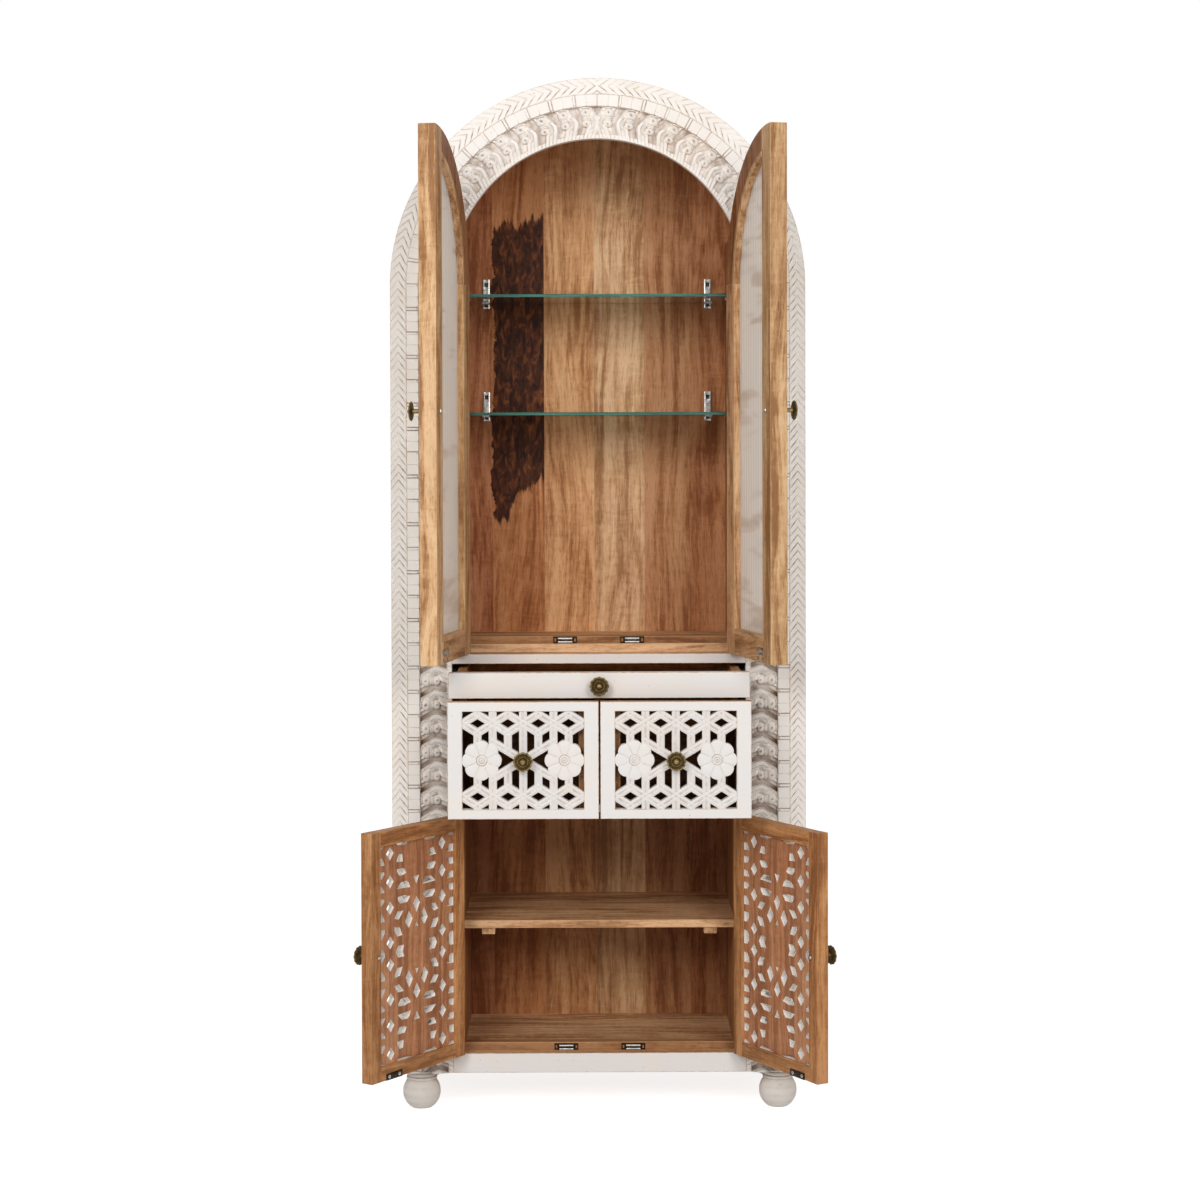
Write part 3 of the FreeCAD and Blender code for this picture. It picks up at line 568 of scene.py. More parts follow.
foot_places = [(0.331, 0.048), (-0.331, 0.048), (0.331, 0.293), (-0.331, 0.293)]


def turned(profile, steps):
    """Solid turned about the upright axis from triples of radius, height and a dark mark for the recesses.
    """
    shape = bmesh.new()
    soil_and_shade = shape.verts.layers.float.new("soil_and_shade")
    line = []
    for radius, height, dirt in profile:
        vert = shape.verts.new((radius, 0, height))
        vert[soil_and_shade] = dirt
        line.append(vert)
    edges = [shape.edges.new(pair) for pair in zip(line, line[1:])]
    bmesh.ops.spin(
        shape,
        geom=line + edges,
        cent=(0, 0, 0),
        axis=(0, 0, 1),
        angle=2 * math.pi,
        steps=steps,
        use_merge=True,
    )
    bmesh.ops.remove_doubles(shape, verts=shape.verts, dist=merge_distance)
    bmesh.ops.recalc_face_normals(shape, faces=shape.faces)
    return shape


def stamp(target, mesh, place):
    """Adds one more copy of a mesh to a shape, at its own place."""
    before = len(target.verts)
    target.from_mesh(mesh)
    target.verts.ensure_lookup_table()
    bmesh.ops.transform(target, matrix=place, verts=target.verts[before:])


foot_profile = list(foot_sole)
for ball_step in range(ball_steps + 1):
    ball_angle = math.radians(ball_start + ball_step * ball_sweep / ball_steps)
    ball_height = ball_centre + ball_radius * math.sin(ball_angle)
    ball_soil = ball_soils[ball_step % len(ball_soils)]
    foot_profile.append((ball_radius * math.cos(ball_angle), ball_height, ball_soil))
foot_mesh = kept_mesh(turned(foot_profile + foot_neck, foot_steps), "foot")
feet = bmesh.new()
for foot_x, foot_y in foot_places:
    stamp(feet, foot_mesh, Matrix.Translation((foot_x, front_plane + foot_y, 0)))
finish_piece(feet, "turned_feet", [whitewash], "cabinet", ["ball_feet"], foot_smooth)

# Chevron band
# Outermost band of the surround: a flat mango strip up each post and over the arch, cut by hand with
# V-shaped strokes that point to the crown. White paint has worn out of many of the strokes.
post_foot = 0.074
spring_line = 1.520
surround_back = 0.022
band_smooth = 12
units_up = 33
units_round = 12
unit_rise = (spring_line - post_foot) / units_up
unit_turn = math.pi / 2 / units_round
run_margin = 1
unit_count = units_up + units_round + 2 * run_margin
mirror_merge = 0.00001
chevron_inner = 0.351
chevron_outer = 0.380
chevron_front = -0.004
chevron_columns = [0.0, 0.07, 0.26, 0.5, 0.76, 0.93, 1.0]
chevron_soils = [0.0, 0.6, 1.0, 0.6, 0.45, 0.4, 0.0]
chevron_edge_rub = 0.5
chevrons_in_unit = 3
chevron_slant = 0.43
stroke_depths = [0.5, 0.5, 1.0, 1.0, 1.0]
chevron_marks = [(0.0, 0.0, 0.0), (0.62, 0.0, 0.0), (0.72, 0.0014, 1.0)]
chevron_marks += [(0.80, 0.0014, 1.0), (0.92, 0.0002, 0.0)]


def surround_place(radius, run, depth):
    """Place on the right half of the surround; run counts carved units from the foot to the crown."""
    if run <= units_up:
        return Vector((radius, front_plane + depth, post_foot + run * unit_rise))
    turn = (run - units_up) * unit_turn
    return Vector((radius * math.cos(turn), front_plane + depth, spring_line + radius * math.sin(turn)))


def pushed_out(shape, faces, **settings):
    """New corners of faces that are pushed out into a solid."""
    made = bmesh.ops.extrude_face_region(shape, geom=faces, **settings)
    return [item for item in made["geom"] if isinstance(item, bmesh.types.BMVert)]


def close_back(shape, depth):
    """Backs an open carved surface with a flat copy of itself at one depth, which makes it a solid."""
    layers = shape.verts.layers.float
    for vert in pushed_out(shape, shape.faces[:], use_keep_orig=True):
        vert.co.y = depth
        for layer in layers.values():
            vert[layer] = 0.0
    bmesh.ops.recalc_face_normals(shape, faces=shape.faces)


def grid(shape, columns, rows):
    """Flat grid of faces: its corners, each with its column and row."""
    bmesh.ops.create_grid(shape, x_segments=columns, y_segments=rows, size=1.0)
    corners = []
    for vert in shape.verts:
        corners.append((vert, round((vert.co.x + 1) / 2 * columns), round((vert.co.y + 1) / 2 * rows)))
    return corners


def cut(shape, place, normal, clear=False):
    """Cuts a shape along a plane, and clears what lies in front of it if asked."""
    bmesh.ops.bisect_plane(
        shape,
        geom=whole(shape),
        dist=merge_distance,
        plane_co=place,
        plane_no=normal,
        clear_outer=clear,
    )


def carve_band(name, columns, rows, rule):
    """Carved strip from the foot of one post over the crown to the other foot."""
    shape = bmesh.new()
    rub = shape.verts.layers.float.new("rub")
    soil_and_shade = shape.verts.layers.float.new("soil_and_shade")
    for vert, column, row in grid(shape, columns, rows):
        vert.co, vert[rub], vert[soil_and_shade] = rule(column, row)
    cut(shape, (0, 0, post_foot), (0, 0, -1), True)
    cut(shape, (0, 0, 0), (-1, 0, 0), True)
    bmesh.ops.mirror(shape, geom=whole(shape), matrix=Matrix.Identity(4), merge_dist=mirror_merge, axis="X")
    bmesh.ops.remove_doubles(shape, verts=shape.verts, dist=merge_distance)
    close_back(shape, front_plane + surround_back)
    nodes = [name + "_posts", name + "_arch"]
    finish_piece(shape, name + "_band", [whitewash], "cabinet", nodes, band_smooth)


def chevron_rule(column, row):
    """Place, rub and soil of one corner of the band."""
    across = chevron_columns[column]
    number, mark = divmod(row, len(chevron_marks))
    share, sunk, dirt = chevron_marks[mark]
    run = (number + share) / chevrons_in_unit - run_margin - chevron_slant * abs(2 * across - 1)
    radius = chevron_inner + across * (chevron_outer - chevron_inner)
    if column in (0, len(chevron_columns) - 1):
        return surround_place(radius, run, chevron_front), chevron_edge_rub, 0.0
    depth = chevron_front + sunk * stroke_depths[number % len(stroke_depths)]
    return surround_place(radius, run, depth), 0.0, dirt * chevron_soils[column]


chevron_rows = unit_count * chevrons_in_unit * len(chevron_marks)
carve_band("chevron", len(chevron_columns) - 1, chevron_rows, chevron_rule)

# Dentil band
# Middle band of the surround: a strip with square raised blocks, a high one beside a low one, and a thin
# slat left standing between each pair. Brown shows in the saw cuts beside the slats.
dentil_inner = 0.328
dentil_outer = 0.351
dentil_columns = [0.0, 0.05, 0.93, 1.0]
dentil_cut = -0.0026
dentil_slat = -0.0062
dentil_block = -0.0080
dentil_low_block = -0.0066
dentil_edge = -0.0020
# Along the inner edge the brown is partly dirt and partly painted shade of the gap under the blocks.
dentil_edge_soil_and_shade = 0.6
dentil_outer_soils = (0.4, 0.1)
dentil_wear = (1.0, 0.5)
dentil_outer_edge = -0.0037
dentil_notch = 0.2
dentil_shift = 0.02
carve_shifts = [0.4, -0.7, 1.0, -0.2, 0.6, -1.0, 0.1, 0.8, -0.5, 0.3, -0.9]
dentil_marks = [
    (0.000, dentil_cut, 0.8),
    (0.020, dentil_slat, 0.0),
    (0.095, dentil_slat, 0.0),
    (0.112, dentil_cut, 0.8),
    (0.128, dentil_cut, 0.8),
    (0.150, dentil_low_block, 0.0),
    (0.535, dentil_low_block, 0.0),
    (0.550, dentil_slat, 0.45),
    (0.565, dentil_block, 0.0),
    (0.985, dentil_block, 0.0),
]


def dentil_rule(column, row):
    """Place, rub and brown mark of one corner of the band; both are fainter on the arch, and the mark along
    the inner edge is partly painted shade.
    """
    across = dentil_columns[column]
    number, mark = divmod(row, len(dentil_marks))
    share, depth, dirt = dentil_marks[mark]
    on_arch = number - run_margin >= units_up
    worn = dentil_wear[on_arch]
    if column == 1 and depth > dentil_low_block:
        across = dentil_notch
    share += dentil_shift * carve_shifts[number % len(carve_shifts)]
    radius = dentil_inner + across * (dentil_outer - dentil_inner)
    run = number + share - run_margin
    if column == 0:
        return surround_place(radius, run, dentil_edge), 0.0, dentil_edge_soil_and_shade
    if column == len(dentil_columns) - 1:
        return surround_place(radius, run, dentil_outer_edge), worn, dentil_outer_soils[on_arch]
    return surround_place(radius, run, depth), 0.0, worn * dirt


carve_band("dentil", len(dentil_columns) - 1, unit_count * len(dentil_marks), dentil_rule)

# Bead band
# Innermost and deepest band: turned spools lie across it, a large bead outside and a small one inside,
# and between them the ground swells into leaves cut with V-shaped strokes that point to the crown.
bead_inner = 0.270
bead_outer = 0.328
bead_columns = [0.0, 0.03, 0.13, 0.18, 0.30, 0.42, 0.54, 0.68, 0.82, 0.93, 1.0]
bead_lip_columns = 3
bead_edge_rub = 0.15
lip_front = -0.0006
lip_soil = 0.75
leaf_low = 0.0062
leaf_high = -0.0062
leaf_slant = 0.42
leaf_inner_slant = 0.28
leaves_in_unit = 5
leaf_marks = [(0.0, 0.0, 0.0), (0.62, 0.0, 0.0), (0.76, 0.0015, 0.85), (0.90, 0.0002, 0.0)]
leaf_swell = [0.0, 0.0, 0.0, 0.7, 0.92, 1.0, 1.0, 1.0, 0.95, 0.85, 0.4]
leaf_lifts = [1.0, 0.0, 0.1, 0.8, 0.95]
leaf_hollows = [0.0, 0.0, 0.0, 0.98, 0.95, 0.84, 0.86, 0.91, 0.96, 1.0, 1.0]
# The hollows between the leaves, under the spools, are marked darkest: partly dirt and partly painted shade
# of the deep recesses; less on the arch.
hollow_soil_and_shade = 0.98
hollow_change = 0.05
arch_hollow_soil_and_shade = 0.74
hollow_fade = 2.5
spool_middle = 0.5
spool_room = 0.26
spool_inner = 0.36
lift_by_spool = 0.3
spool_steps = 12
spool_smooth = 50
spool_axis_depth = 0.0030
spool_profile = [
    (0.0000, 0.0366, 0.6), (0.0045, 0.0365, 0.6), (0.0068, 0.0351, 0.1), (0.0082, 0.0325, 0.0),
    (0.0087, 0.0300, 0.0), (0.0082, 0.0274, 0.0), (0.0066, 0.0254, 0.3), (0.0068, 0.0244, 0.5),
    (0.0080, 0.0236, 0.0), (0.0080, 0.0223, 0.0), (0.0069, 0.0215, 0.5), (0.0082, 0.0207, 0.0),
    (0.0082, 0.0193, 0.0), (0.0071, 0.0185, 0.5), (0.0090, 0.0171, 0.1), (0.0105, 0.0146, 0.0),
    (0.0109, 0.0114, 0.0), (0.0108, 0.0091, 0.0), (0.0098, 0.0062, 0.0), (0.0076, 0.0041, 0.3),
    (0.0062, 0.0030, 0.8), (0.0080, 0.0022, 0.2), (0.0090, 0.0011, 0.0), (0.0088, 0.0004, 0.2),
    (0.0000, 0.0002, 0.4),
]
dimple_places = [0.0111, 0.0300]
dimple_reach = 0.0025
dimple_sunk = 0.0016
dimple_front = 0.0078
dimple_half = 0.001


def bead_rule(column, row):
    """Place, rub and dark mark of one corner of the band: a plain lip, then leaves with hollows between,
    whose dark brown is partly dirt and partly painted shade.
    """
    across = bead_columns[column]
    number, mark = divmod(row, len(leaf_marks))
    share, sunk, dirt = leaf_marks[mark]
    slant = leaf_slant if across > 0.5 else leaf_inner_slant
    run = (number + share) / leaves_in_unit - run_margin - slant * abs(2 * across - 1)
    radius = bead_inner + across * (bead_outer - bead_inner)
    if column == 0:
        return surround_place(radius, run, 0.0), bead_edge_rub, 0.0
    if column < bead_lip_columns:
        return surround_place(radius, run, lip_front + sunk), 0.0, lip_soil * dirt
    lift = leaf_lifts[(number - leaves_in_unit * run_margin) % leaves_in_unit] * leaf_swell[column]
    if across > spool_inner and abs(run % 1.0 - spool_middle) < spool_room:
        lift = min(lift, lift_by_spool)
    height = leaf_low + (leaf_high - leaf_low) * lift
    # Painted shade and dirt in the hollows, fading where the leaf rises.
    deepest = arch_hollow_soil_and_shade if run > units_up else hollow_soil_and_shade
    deepest += hollow_change * carve_shifts[int(run) % len(carve_shifts)]
    hollow = min(1.0, deepest) * leaf_hollows[column] * max(0.0, 1.0 - hollow_fade * lift)
    return surround_place(radius, run, height + sunk * lift), 0.0, max(hollow, dirt * lift)


def spool():
    """Turned spool with a drilled dimple on the front of each bead, lying along the band."""
    shape = turned(spool_profile, spool_steps)
    soil_and_shade = shape.verts.layers.float["soil_and_shade"]
    for vert in shape.verts:
        on_front = vert.co.x > dimple_front and abs(vert.co.y) < dimple_half
        if on_front and any(abs(vert.co.z - place) < dimple_reach for place in dimple_places):
            vert.co.x -= dimple_sunk
            vert[soil_and_shade] = 1.0
    for axis in "ZY":
        bmesh.ops.transform(shape, matrix=Matrix.Rotation(-math.pi / 2, 4, axis), verts=shape.verts)
    return kept_mesh(shape, "spool")


bead_rows = unit_count * leaves_in_unit * len(leaf_marks)
carve_band("bead", len(bead_columns) - 1, bead_rows, bead_rule)
spool_mesh = spool()
spools = bmesh.new()
for unit in range(units_up + units_round):
    spool_run = unit + spool_middle
    end = surround_place(bead_outer, spool_run, spool_axis_depth)
    turn = max(0.0, spool_run - units_up) * unit_turn
    stamp(spools, spool_mesh, Matrix.Translation(end) @ Matrix.Rotation(-turn, 4, "Y"))
    left_end = Matrix.Translation((-end.x, end.y, end.z))
    stamp(spools, spool_mesh, left_end @ Matrix.Rotation(turn - math.pi, 4, "Y"))
finish_piece(spools, "bead_spools", [whitewash], "cabinet", [], spool_smooth)

# Upper doors
# Two arched frames of mango wood with a reeded pane in a rebate, held from behind by thin beads. The
# front is washed white; the edges and the inside are oiled.
hinge_x = 0.2685
hinge_y = front_plane - 0.004
door_turns = {
    "upper_left": math.radians(-100.0),
    "upper_right": math.radians(103.5),
    "lower_left": math.radians(-125.0),
    "lower_right": math.radians(120.0),
}
rail_tones = [(0.46, 0.32, 0.26), (0.9, 0.84, 0.78)]
pane_left = -0.228
pane_right = -0.0405
pane_low = 0.887
pane_arch = 0.228
pane_front = front_plane + 0.015
pane_back = front_plane + 0.019
pane_flutes = 13
flute_steps = 6
flute_depth = 0.0012
# Painted refraction shading: the flute valleys and clouds of the carving seen through the glass are laid
# into its colour.
flute_line_shade = 0.32
pane_colour = (255, 250, 243)
painted_refraction_colour = (200, 172, 146)
refraction_noise = ((5.0, 5.0, 26.0), 2.0, 0.3)
refraction_limits = (0.5, 0.68, 0.45)
glass_noise = ((40.0, 40.0, 40.0), 2.0)
glass_uneven = 0.04
door_wood = wood_finish("door mango wood", (228, 190, 148), (206, 162, 118), (160, 114, 76), 0.5)
door_draw = random.Random(37)


def door_swing(name):
    """Turn of a closed door about its hinges to where it stands open."""
    hinge = Vector((hinge_x if name.endswith("right") else -hinge_x, hinge_y, 0))
    turn = Matrix.Rotation(door_turns[name], 4, "Z")
    return Matrix.Translation(hinge) @ turn @ Matrix.Translation(-hinge)


def door_place(name):
    """Moves what is modelled on a closed left-hand door to where a door stands."""
    return door_swing(name) @ Matrix.Scale(-1 if name.endswith("right") else 1, 4, (1, 0, 0))


def door_boards(name, parts, wood, tones=None):
    """Frame pieces of a door, painted on the side that faces out when it is closed."""
    turn = door_turns[name]
    painted = Matrix.Rotation(turn, 3, "Z") @ Vector((0, -1, 0))
    finishes = [wood, whitewash]
    for part in parts:
        boards(f"{name}_{part}", f"{name}_door", finishes, door_draw, turn, tones, painted)


def glass_finish(name, colour, roughness, clearness, bend):
    """Glass with a faint tint and a slight unevenness; what isn't clear in it is milky."""
    material, tree, shader = new_finish(name)
    uneven = mottle(tree, object_place(tree), *glass_noise)
    inputs = {
        "Base Color": tint(*colour),
        "Roughness": times(tree, uneven, glass_uneven, roughness),
        "Transmission Weight": clearness,
        "IOR": bend,
    }
    feed(tree, shader, inputs)
    return material


def add_painted_refraction(finish):
    """Painted refraction: darker painted lines between the flutes, and soft painted clouds for the carving
    that shows through the pane.
    """
    tree = finish.node_tree
    refraction_clouds = mottle(tree, object_place(tree), *refraction_noise)
    clouded = coated(tree, tint(*pane_colour), refraction_clouds, refraction_limits, painted_refraction_colour)
    line_share = times(tree, attribute(tree, "soil_and_shade", "Fac"), flute_line_shade)
    lined = mixed(tree, line_share, clouded, tint(*painted_refraction_colour))
    feed(tree, tree.nodes["Principled BSDF"], {"Base Color": lined})


def reeded_pane():
    """Pane with upright flutes on its back, closed to a flat front."""
    shape = bmesh.new()
    soil_and_shade = shape.verts.layers.float.new("soil_and_shade")
    bmesh.ops.create_grid(shape, x_segments=pane_flutes * flute_steps, y_segments=1, size=1.0)
    for vert in shape.verts:
        share = (vert.co.x + 1) / 2
        x = pane_left + share * (pane_right - pane_left)
        top = spring_line + math.sqrt(max(pane_arch ** 2 - x ** 2, 0.0))
        wave = abs(math.sin(math.pi * share * pane_flutes))
        # The flute valleys are marked for darker painted lines of refraction shading.
        vert[soil_and_shade] = 1 - wave
        vert.co = Vector((x, pane_back - flute_depth * (1 - wave), pane_low if vert.co.y < 0 else top))
    close_back(shape, pane_front)
    return shape


pane_glass = glass_finish("reeded glass", pane_colour, 0.3, 0.32, 1.1)
add_painted_refraction(pane_glass)
for door in ("upper_left", "upper_right"):
    body = door + "_door"
    place = door_place(door)
    door_boards(door, ("stiles", "beads"), door_wood)
    door_boards(door, ("rails",), door_wood, rail_tones)
    pane_nodes = [door + "_glass"]
    pane_name = door + "_reeded_pane"
    finish_piece(reeded_pane(), pane_name, [pane_glass], body, pane_nodes, place=place)

# Lower doors
# Two square frames grooved round a fret panel. The panel is glued up from three upright boards, pierced,
# carved with rosettes on its front and washed white from there; its back is left brown.
panel_front = front_plane + 0.0055
panel_back = front_plane + 0.0175
panel_field = (-0.2412, -0.0273, 0.1378, 0.5262)
panel_middle = (-0.13425, 0.332)
panel_joints = (-0.1005, -0.1760)
frame_tones = [(0.95, 0.95, 0.95), (1.05, 1.02, 1.0)]
panel_tones = [(1.0, 0.98, 0.96), (1.1, 1.05, 1.0), (0.95, 0.9, 0.86)]
panel_rims = [(panel_front, 0.0018, 1), (panel_back, 0.0006, 0)]
panel_wood = wood_finish("panel mango wood", (214, 160, 120), (194, 138, 102), (162, 112, 80), 0.55)
frame_wood = wood_finish("frame mango wood", (210, 156, 106), (188, 132, 84), (150, 100, 62), 0.5)
rosette_petals = 8
rosette_steps = 80
rosette_smooth = 25
rosette_eye = 0.28
petal_centre = 0.57
petal_ratio = 0.43
petal_groove = 0.0010
petal_groove_start = 0.95
petal_groove_soil = 0.3
petal_swell = 0.0005
rosette_profile = [
    (0.000, 0.0000, 0.0), (1.000, 0.0000, 0.4), (1.000, 0.0017, 0.1), (0.950, 0.0024, 0.0),
    (0.720, 0.0023, 0.0), (0.500, 0.0020, 0.0), (0.300, 0.0016, 0.1), (0.270, 0.0008, 0.8),
    (0.240, 0.0022, 0.1), (0.165, 0.0026, 0.0), (0.145, 0.0014, 0.8), (0.120, 0.0015, 0.3),
    (0.060, 0.0025, 0.0), (0.030, 0.0017, 0.7), (0.000, 0.0016, 0.7),
]
door_rosettes = [(0.0, 0.032), (0.163, 0.029), (-0.163, 0.029)]
lie_on_front = Matrix.Rotation(math.pi / 2, 4, "X")


def widen(vert, radius, grown):
    """Moves a corner away from the upright axis."""
    vert.co.x *= grown / radius
    vert.co.y *= grown / radius


def rosette(reach):
    """Carved flower: eight fan-shaped petals round a ringed button, lying flat with its face up."""
    profile = [(share * reach, height, dirt) for share, height, dirt in rosette_profile]
    shape = turned(profile, rosette_steps)
    soil_and_shade = shape.verts.layers.float["soil_and_shade"]
    eye = rosette_eye * reach
    half = math.pi / rosette_petals
    for vert in shape.verts:
        radius = math.hypot(vert.co.x, vert.co.y)
        if radius <= eye:
            continue
        off = (math.atan2(vert.co.y, vert.co.x) + half) % (2 * half) - half
        across = petal_centre * reach * math.sin(off)
        outline = petal_centre * reach * math.cos(off) + math.sqrt((petal_ratio * reach) ** 2 - across ** 2)
        in_groove = abs(off) > petal_groove_start * half
        if vert.co.z > petal_groove:
            vert.co.z += petal_swell * math.cos(off / half * math.pi / 2) - petal_groove * in_groove
            vert[soil_and_shade] = petal_groove_soil * in_groove
        widen(vert, radius, eye + (radius - eye) * (outline - eye) / (reach - eye))
    return kept_mesh(shape, "rosette")


def hole_edges(shape, depth):
    """Sharp edges round the holes of a panel, on one of its two faces."""
    left, right, low, high = panel_field
    edges = []
    for edge in shape.edges:
        middle = (edge.verts[0].co + edge.verts[1].co) / 2
        inside = left < middle.x < right and low < middle.z < high
        level = all(abs(vert.co.y - depth) < merge_distance * 10 for vert in edge.verts)
        if inside and level and edge.is_manifold and edge.calc_face_angle() > edge_angle:
            edges.append(edge)
    return edges


def fret_panel(name):
    """Pierced panel of a lower door: three boards behind, white wash on the front and in the holes."""
    shape = copy_boards(name + "_fret_panel")
    place = door_place(name)
    settle(shape, place.inverted())
    for face in shape.faces:
        face.material_index = 0 if face.normal.y > facing else 1
    for depth, ease, finish in panel_rims:
        rounded(shape, hole_edges(shape, depth), ease, finish)
    bmesh.ops.triangulate(shape, faces=shape.faces)
    for joint in panel_joints:
        cut(shape, (joint, 0, 0), (1, 0, 0))
    grain = shape.verts.layers.float_vector.new("grain")
    tone = shape.loops.layers.float_vector.new("tone")
    for vert in shape.verts:
        vert[grain] = Vector((vert.co.z, vert.co.x, vert.co.y))
    for face in shape.faces:
        board = sum(face.calc_center_median().x < joint for joint in panel_joints)
        for loop in face.loops:
            loop[tone] = Vector(panel_tones[board])
    settle(shape, place)
    return shape


rosette_meshes = {reach: rosette(reach) for rise, reach in door_rosettes}
for door in ("lower_left", "lower_right"):
    body = door + "_door"
    door_boards(door, ("stiles", "rails"), frame_wood, frame_tones)
    panel_node = door + "_fret_panel"
    panel_finishes = [panel_wood, whitewash]
    finish_piece(fret_panel(door), panel_node + "_carved", panel_finishes, body, [panel_node])
    flowers = bmesh.new()
    for rise, reach in door_rosettes:
        flower_middle = (panel_middle[0], panel_front, panel_middle[1] + rise)
        stamp(flowers, rosette_meshes[reach], Matrix.Translation(flower_middle) @ lie_on_front)
    place = door_place(door)
    finish_piece(flowers, door + "_rosettes", [whitewash], body, [], rosette_smooth, place)

# Drawers
# A slim drawer with a plain front over two drawers with fret-cut fronts: bars with a groove between two
# crests, a rosette each side of the knob and a flat border. The boxes behind are plain nailed mango.
slim_pull = 0.155
fret_pull = 0.195
fret_sunk = 0.003
fret_left = -0.268
fret_right = -0.0015
fret_low = 0.571
fret_high = 0.778
side_border = 0.026
level_border = 0.017
border_ease = 0.0008
lattice_cells = 4
half_rows = 1.614
rhombus_row = 1.21
rhombus_short = 0.31
rosette_offset = 1.36
rosette_ratio = 0.655
knob_bar_rise = 0.6
bar_ends = {0.0: (0.0, 0.0), 0.5: (0.5, 0.3), 1.0: (1.0, 0.6), 1.5: (1.5, 0.45)}
bar_half = 0.0068
bar_lap = 0.0046
bar_drop = 0.03
bar_profile = [
    (-1.00, 0.0000, 0.2), (-1.00, 0.0007, 0.1), (-0.50, 0.0027, 0.0), (0.00, 0.0008, 0.55),
    (0.50, 0.0027, 0.0), (1.00, 0.0007, 0.1), (1.00, 0.0000, 0.2),
]
hub_profile = [(0.0, 0.0, 0.0), (0.0112, 0.0, 0.2), (0.0110, 0.0016, 0.0)]
hub_profile += [(0.0098, 0.0029, 0.0), (0.0, 0.0029, 0.0)]
hub_steps = 32
cell_width = (fret_right - fret_left - 2 * side_border) / lattice_cells
row_height = (fret_high - fret_low - 2 * level_border) / 2 / half_rows
fret_middle = ((fret_left + fret_right) / 2, (fret_low + fret_high) / 2)
fret_front = front_plane + fret_sunk
drawer_wood = wood_finish("drawer mango wood", (222, 182, 134), (198, 152, 104), (158, 112, 70), 0.6)
box_tones = [(0.36, 0.28, 0.24)]
drawer_draw = random.Random(53)


def lattice_bars():
    """Centre lines of the bars, in cells: rhombi above and below, uprights and a cross behind the knob."""
    bars = []
    for sign in (1, -1):
        row = sign * rhombus_row
        for cell in range(lattice_cells):
            middle = cell + 0.5 - lattice_cells / 2
            corners = ((0.5, 0), (0, rhombus_short), (-0.5, 0), (0, -rhombus_short))
            ring = [(middle + along, row + across) for along, across in corners]
            bars += [(ring[corner], ring[(corner + 1) % 4]) for corner in range(4)]
            along, across = bar_ends[abs(middle)]
            inner = (math.copysign(along, middle), sign * across)
            bars.append(((middle, row + sign * rhombus_short), (middle, sign * half_rows)))
            bars.append(((middle, row - sign * rhombus_short), inner))
        for joint in range(1, lattice_cells):
            run = joint - lattice_cells / 2
            along, across = bar_ends[abs(run)]
            bars.append(((run, sign * half_rows), (math.copysign(along, run), sign * across)))
        bars.append(((-1.0, -sign * knob_bar_rise), (1.0, sign * knob_bar_rise)))
    return bars


def bar_mesh():
    """Bar one unit long with a groove between two crests."""
    shape = bmesh.new()
    soil_and_shade = shape.verts.layers.float.new("soil_and_shade")
    line = []
    for share, height, dirt in bar_profile:
        vert = shape.verts.new((0, share * bar_half, height))
        vert[soil_and_shade] = dirt
        line.append(vert)
    bmesh.ops.translate(shape, vec=(1, 0, 0), verts=pushed_out(shape, [shape.faces.new(line)]))
    bmesh.ops.recalc_face_normals(shape, faces=shape.faces)
    return kept_mesh(shape, "bar")


def on_top_edge(face):
    return face.normal.z > facing and face.calc_center_median().z > fret_high - 10 * merge_distance


def fret_plate(node):
    """Pierced plate of a drawer front, set back behind its border; brown behind and on its top edge."""
    shape = copy_boards(node)
    front = front_plane - fret_pull
    for vert in shape.verts:
        if vert.co.y < front + 10 * merge_distance:
            vert.co.y = front + fret_sunk
    for face in shape.faces:
        face.material_index = 0 if face.normal.y > facing or on_top_edge(face) else 1
    lay_grain(shape, 0.0, drawer_draw)
    return shape


def fret_border():
    """Flat border of the left-hand drawer front, brown on its top edge."""
    shape = bmesh.new()
    columns = [fret_left, fret_left + side_border, fret_right - side_border, fret_right]
    rows = [fret_low, fret_low + level_border, fret_high - level_border, fret_high]
    corners = grid(shape, len(columns) - 1, len(rows) - 1)
    middle = min(shape.faces, key=lambda face: face.calc_center_median().length)
    bmesh.ops.delete(shape, geom=[middle], context="FACES_ONLY")
    for vert, column, row in corners:
        vert.co = Vector((columns[column], fret_front, rows[row]))
    bmesh.ops.translate(shape, vec=(0, -fret_sunk, 0), verts=pushed_out(shape, shape.faces[:]))
    bmesh.ops.recalc_face_normals(shape, faces=shape.faces)
    for face in shape.faces:
        face.material_index = 0 if on_top_edge(face) else 1
    ease_edges(shape, border_ease)
    lay_grain(shape, 0.0, drawer_draw)
    return shape


def lattice_place(run, side):
    return Vector((fret_middle[0] + run * cell_width, fret_front, fret_middle[1] + side * row_height))


def fret_bars(bar):
    """All bars of the left-hand drawer front, each run on a little past both ends."""
    shape = bmesh.new()
    for number, (start, end) in enumerate(lattice_bars()):
        first = lattice_place(*start)
        last = lattice_place(*end)
        along = (last - first).normalized()
        first -= along * bar_lap
        reach = (last - first).length + bar_lap
        level = 1 - bar_drop * (number % 3)
        rows = [(along.x * reach, -along.z, 0, first.x), (0, 0, -level, first.y)]
        rows += [(along.z * reach, along.x, 0, first.z), (0, 0, 0, 1)]
        stamp(shape, bar, Matrix(rows))
    return shape


def fret_flowers(flower, hub):
    """Rosette each side of the knob and the round boss that the knob stands on."""
    shape = bmesh.new()
    for mesh, run in ((flower, -rosette_offset), (flower, rosette_offset), (hub, 0)):
        stamp(shape, mesh, Matrix.Translation(lattice_place(run, 0)) @ lie_on_front)
    return shape


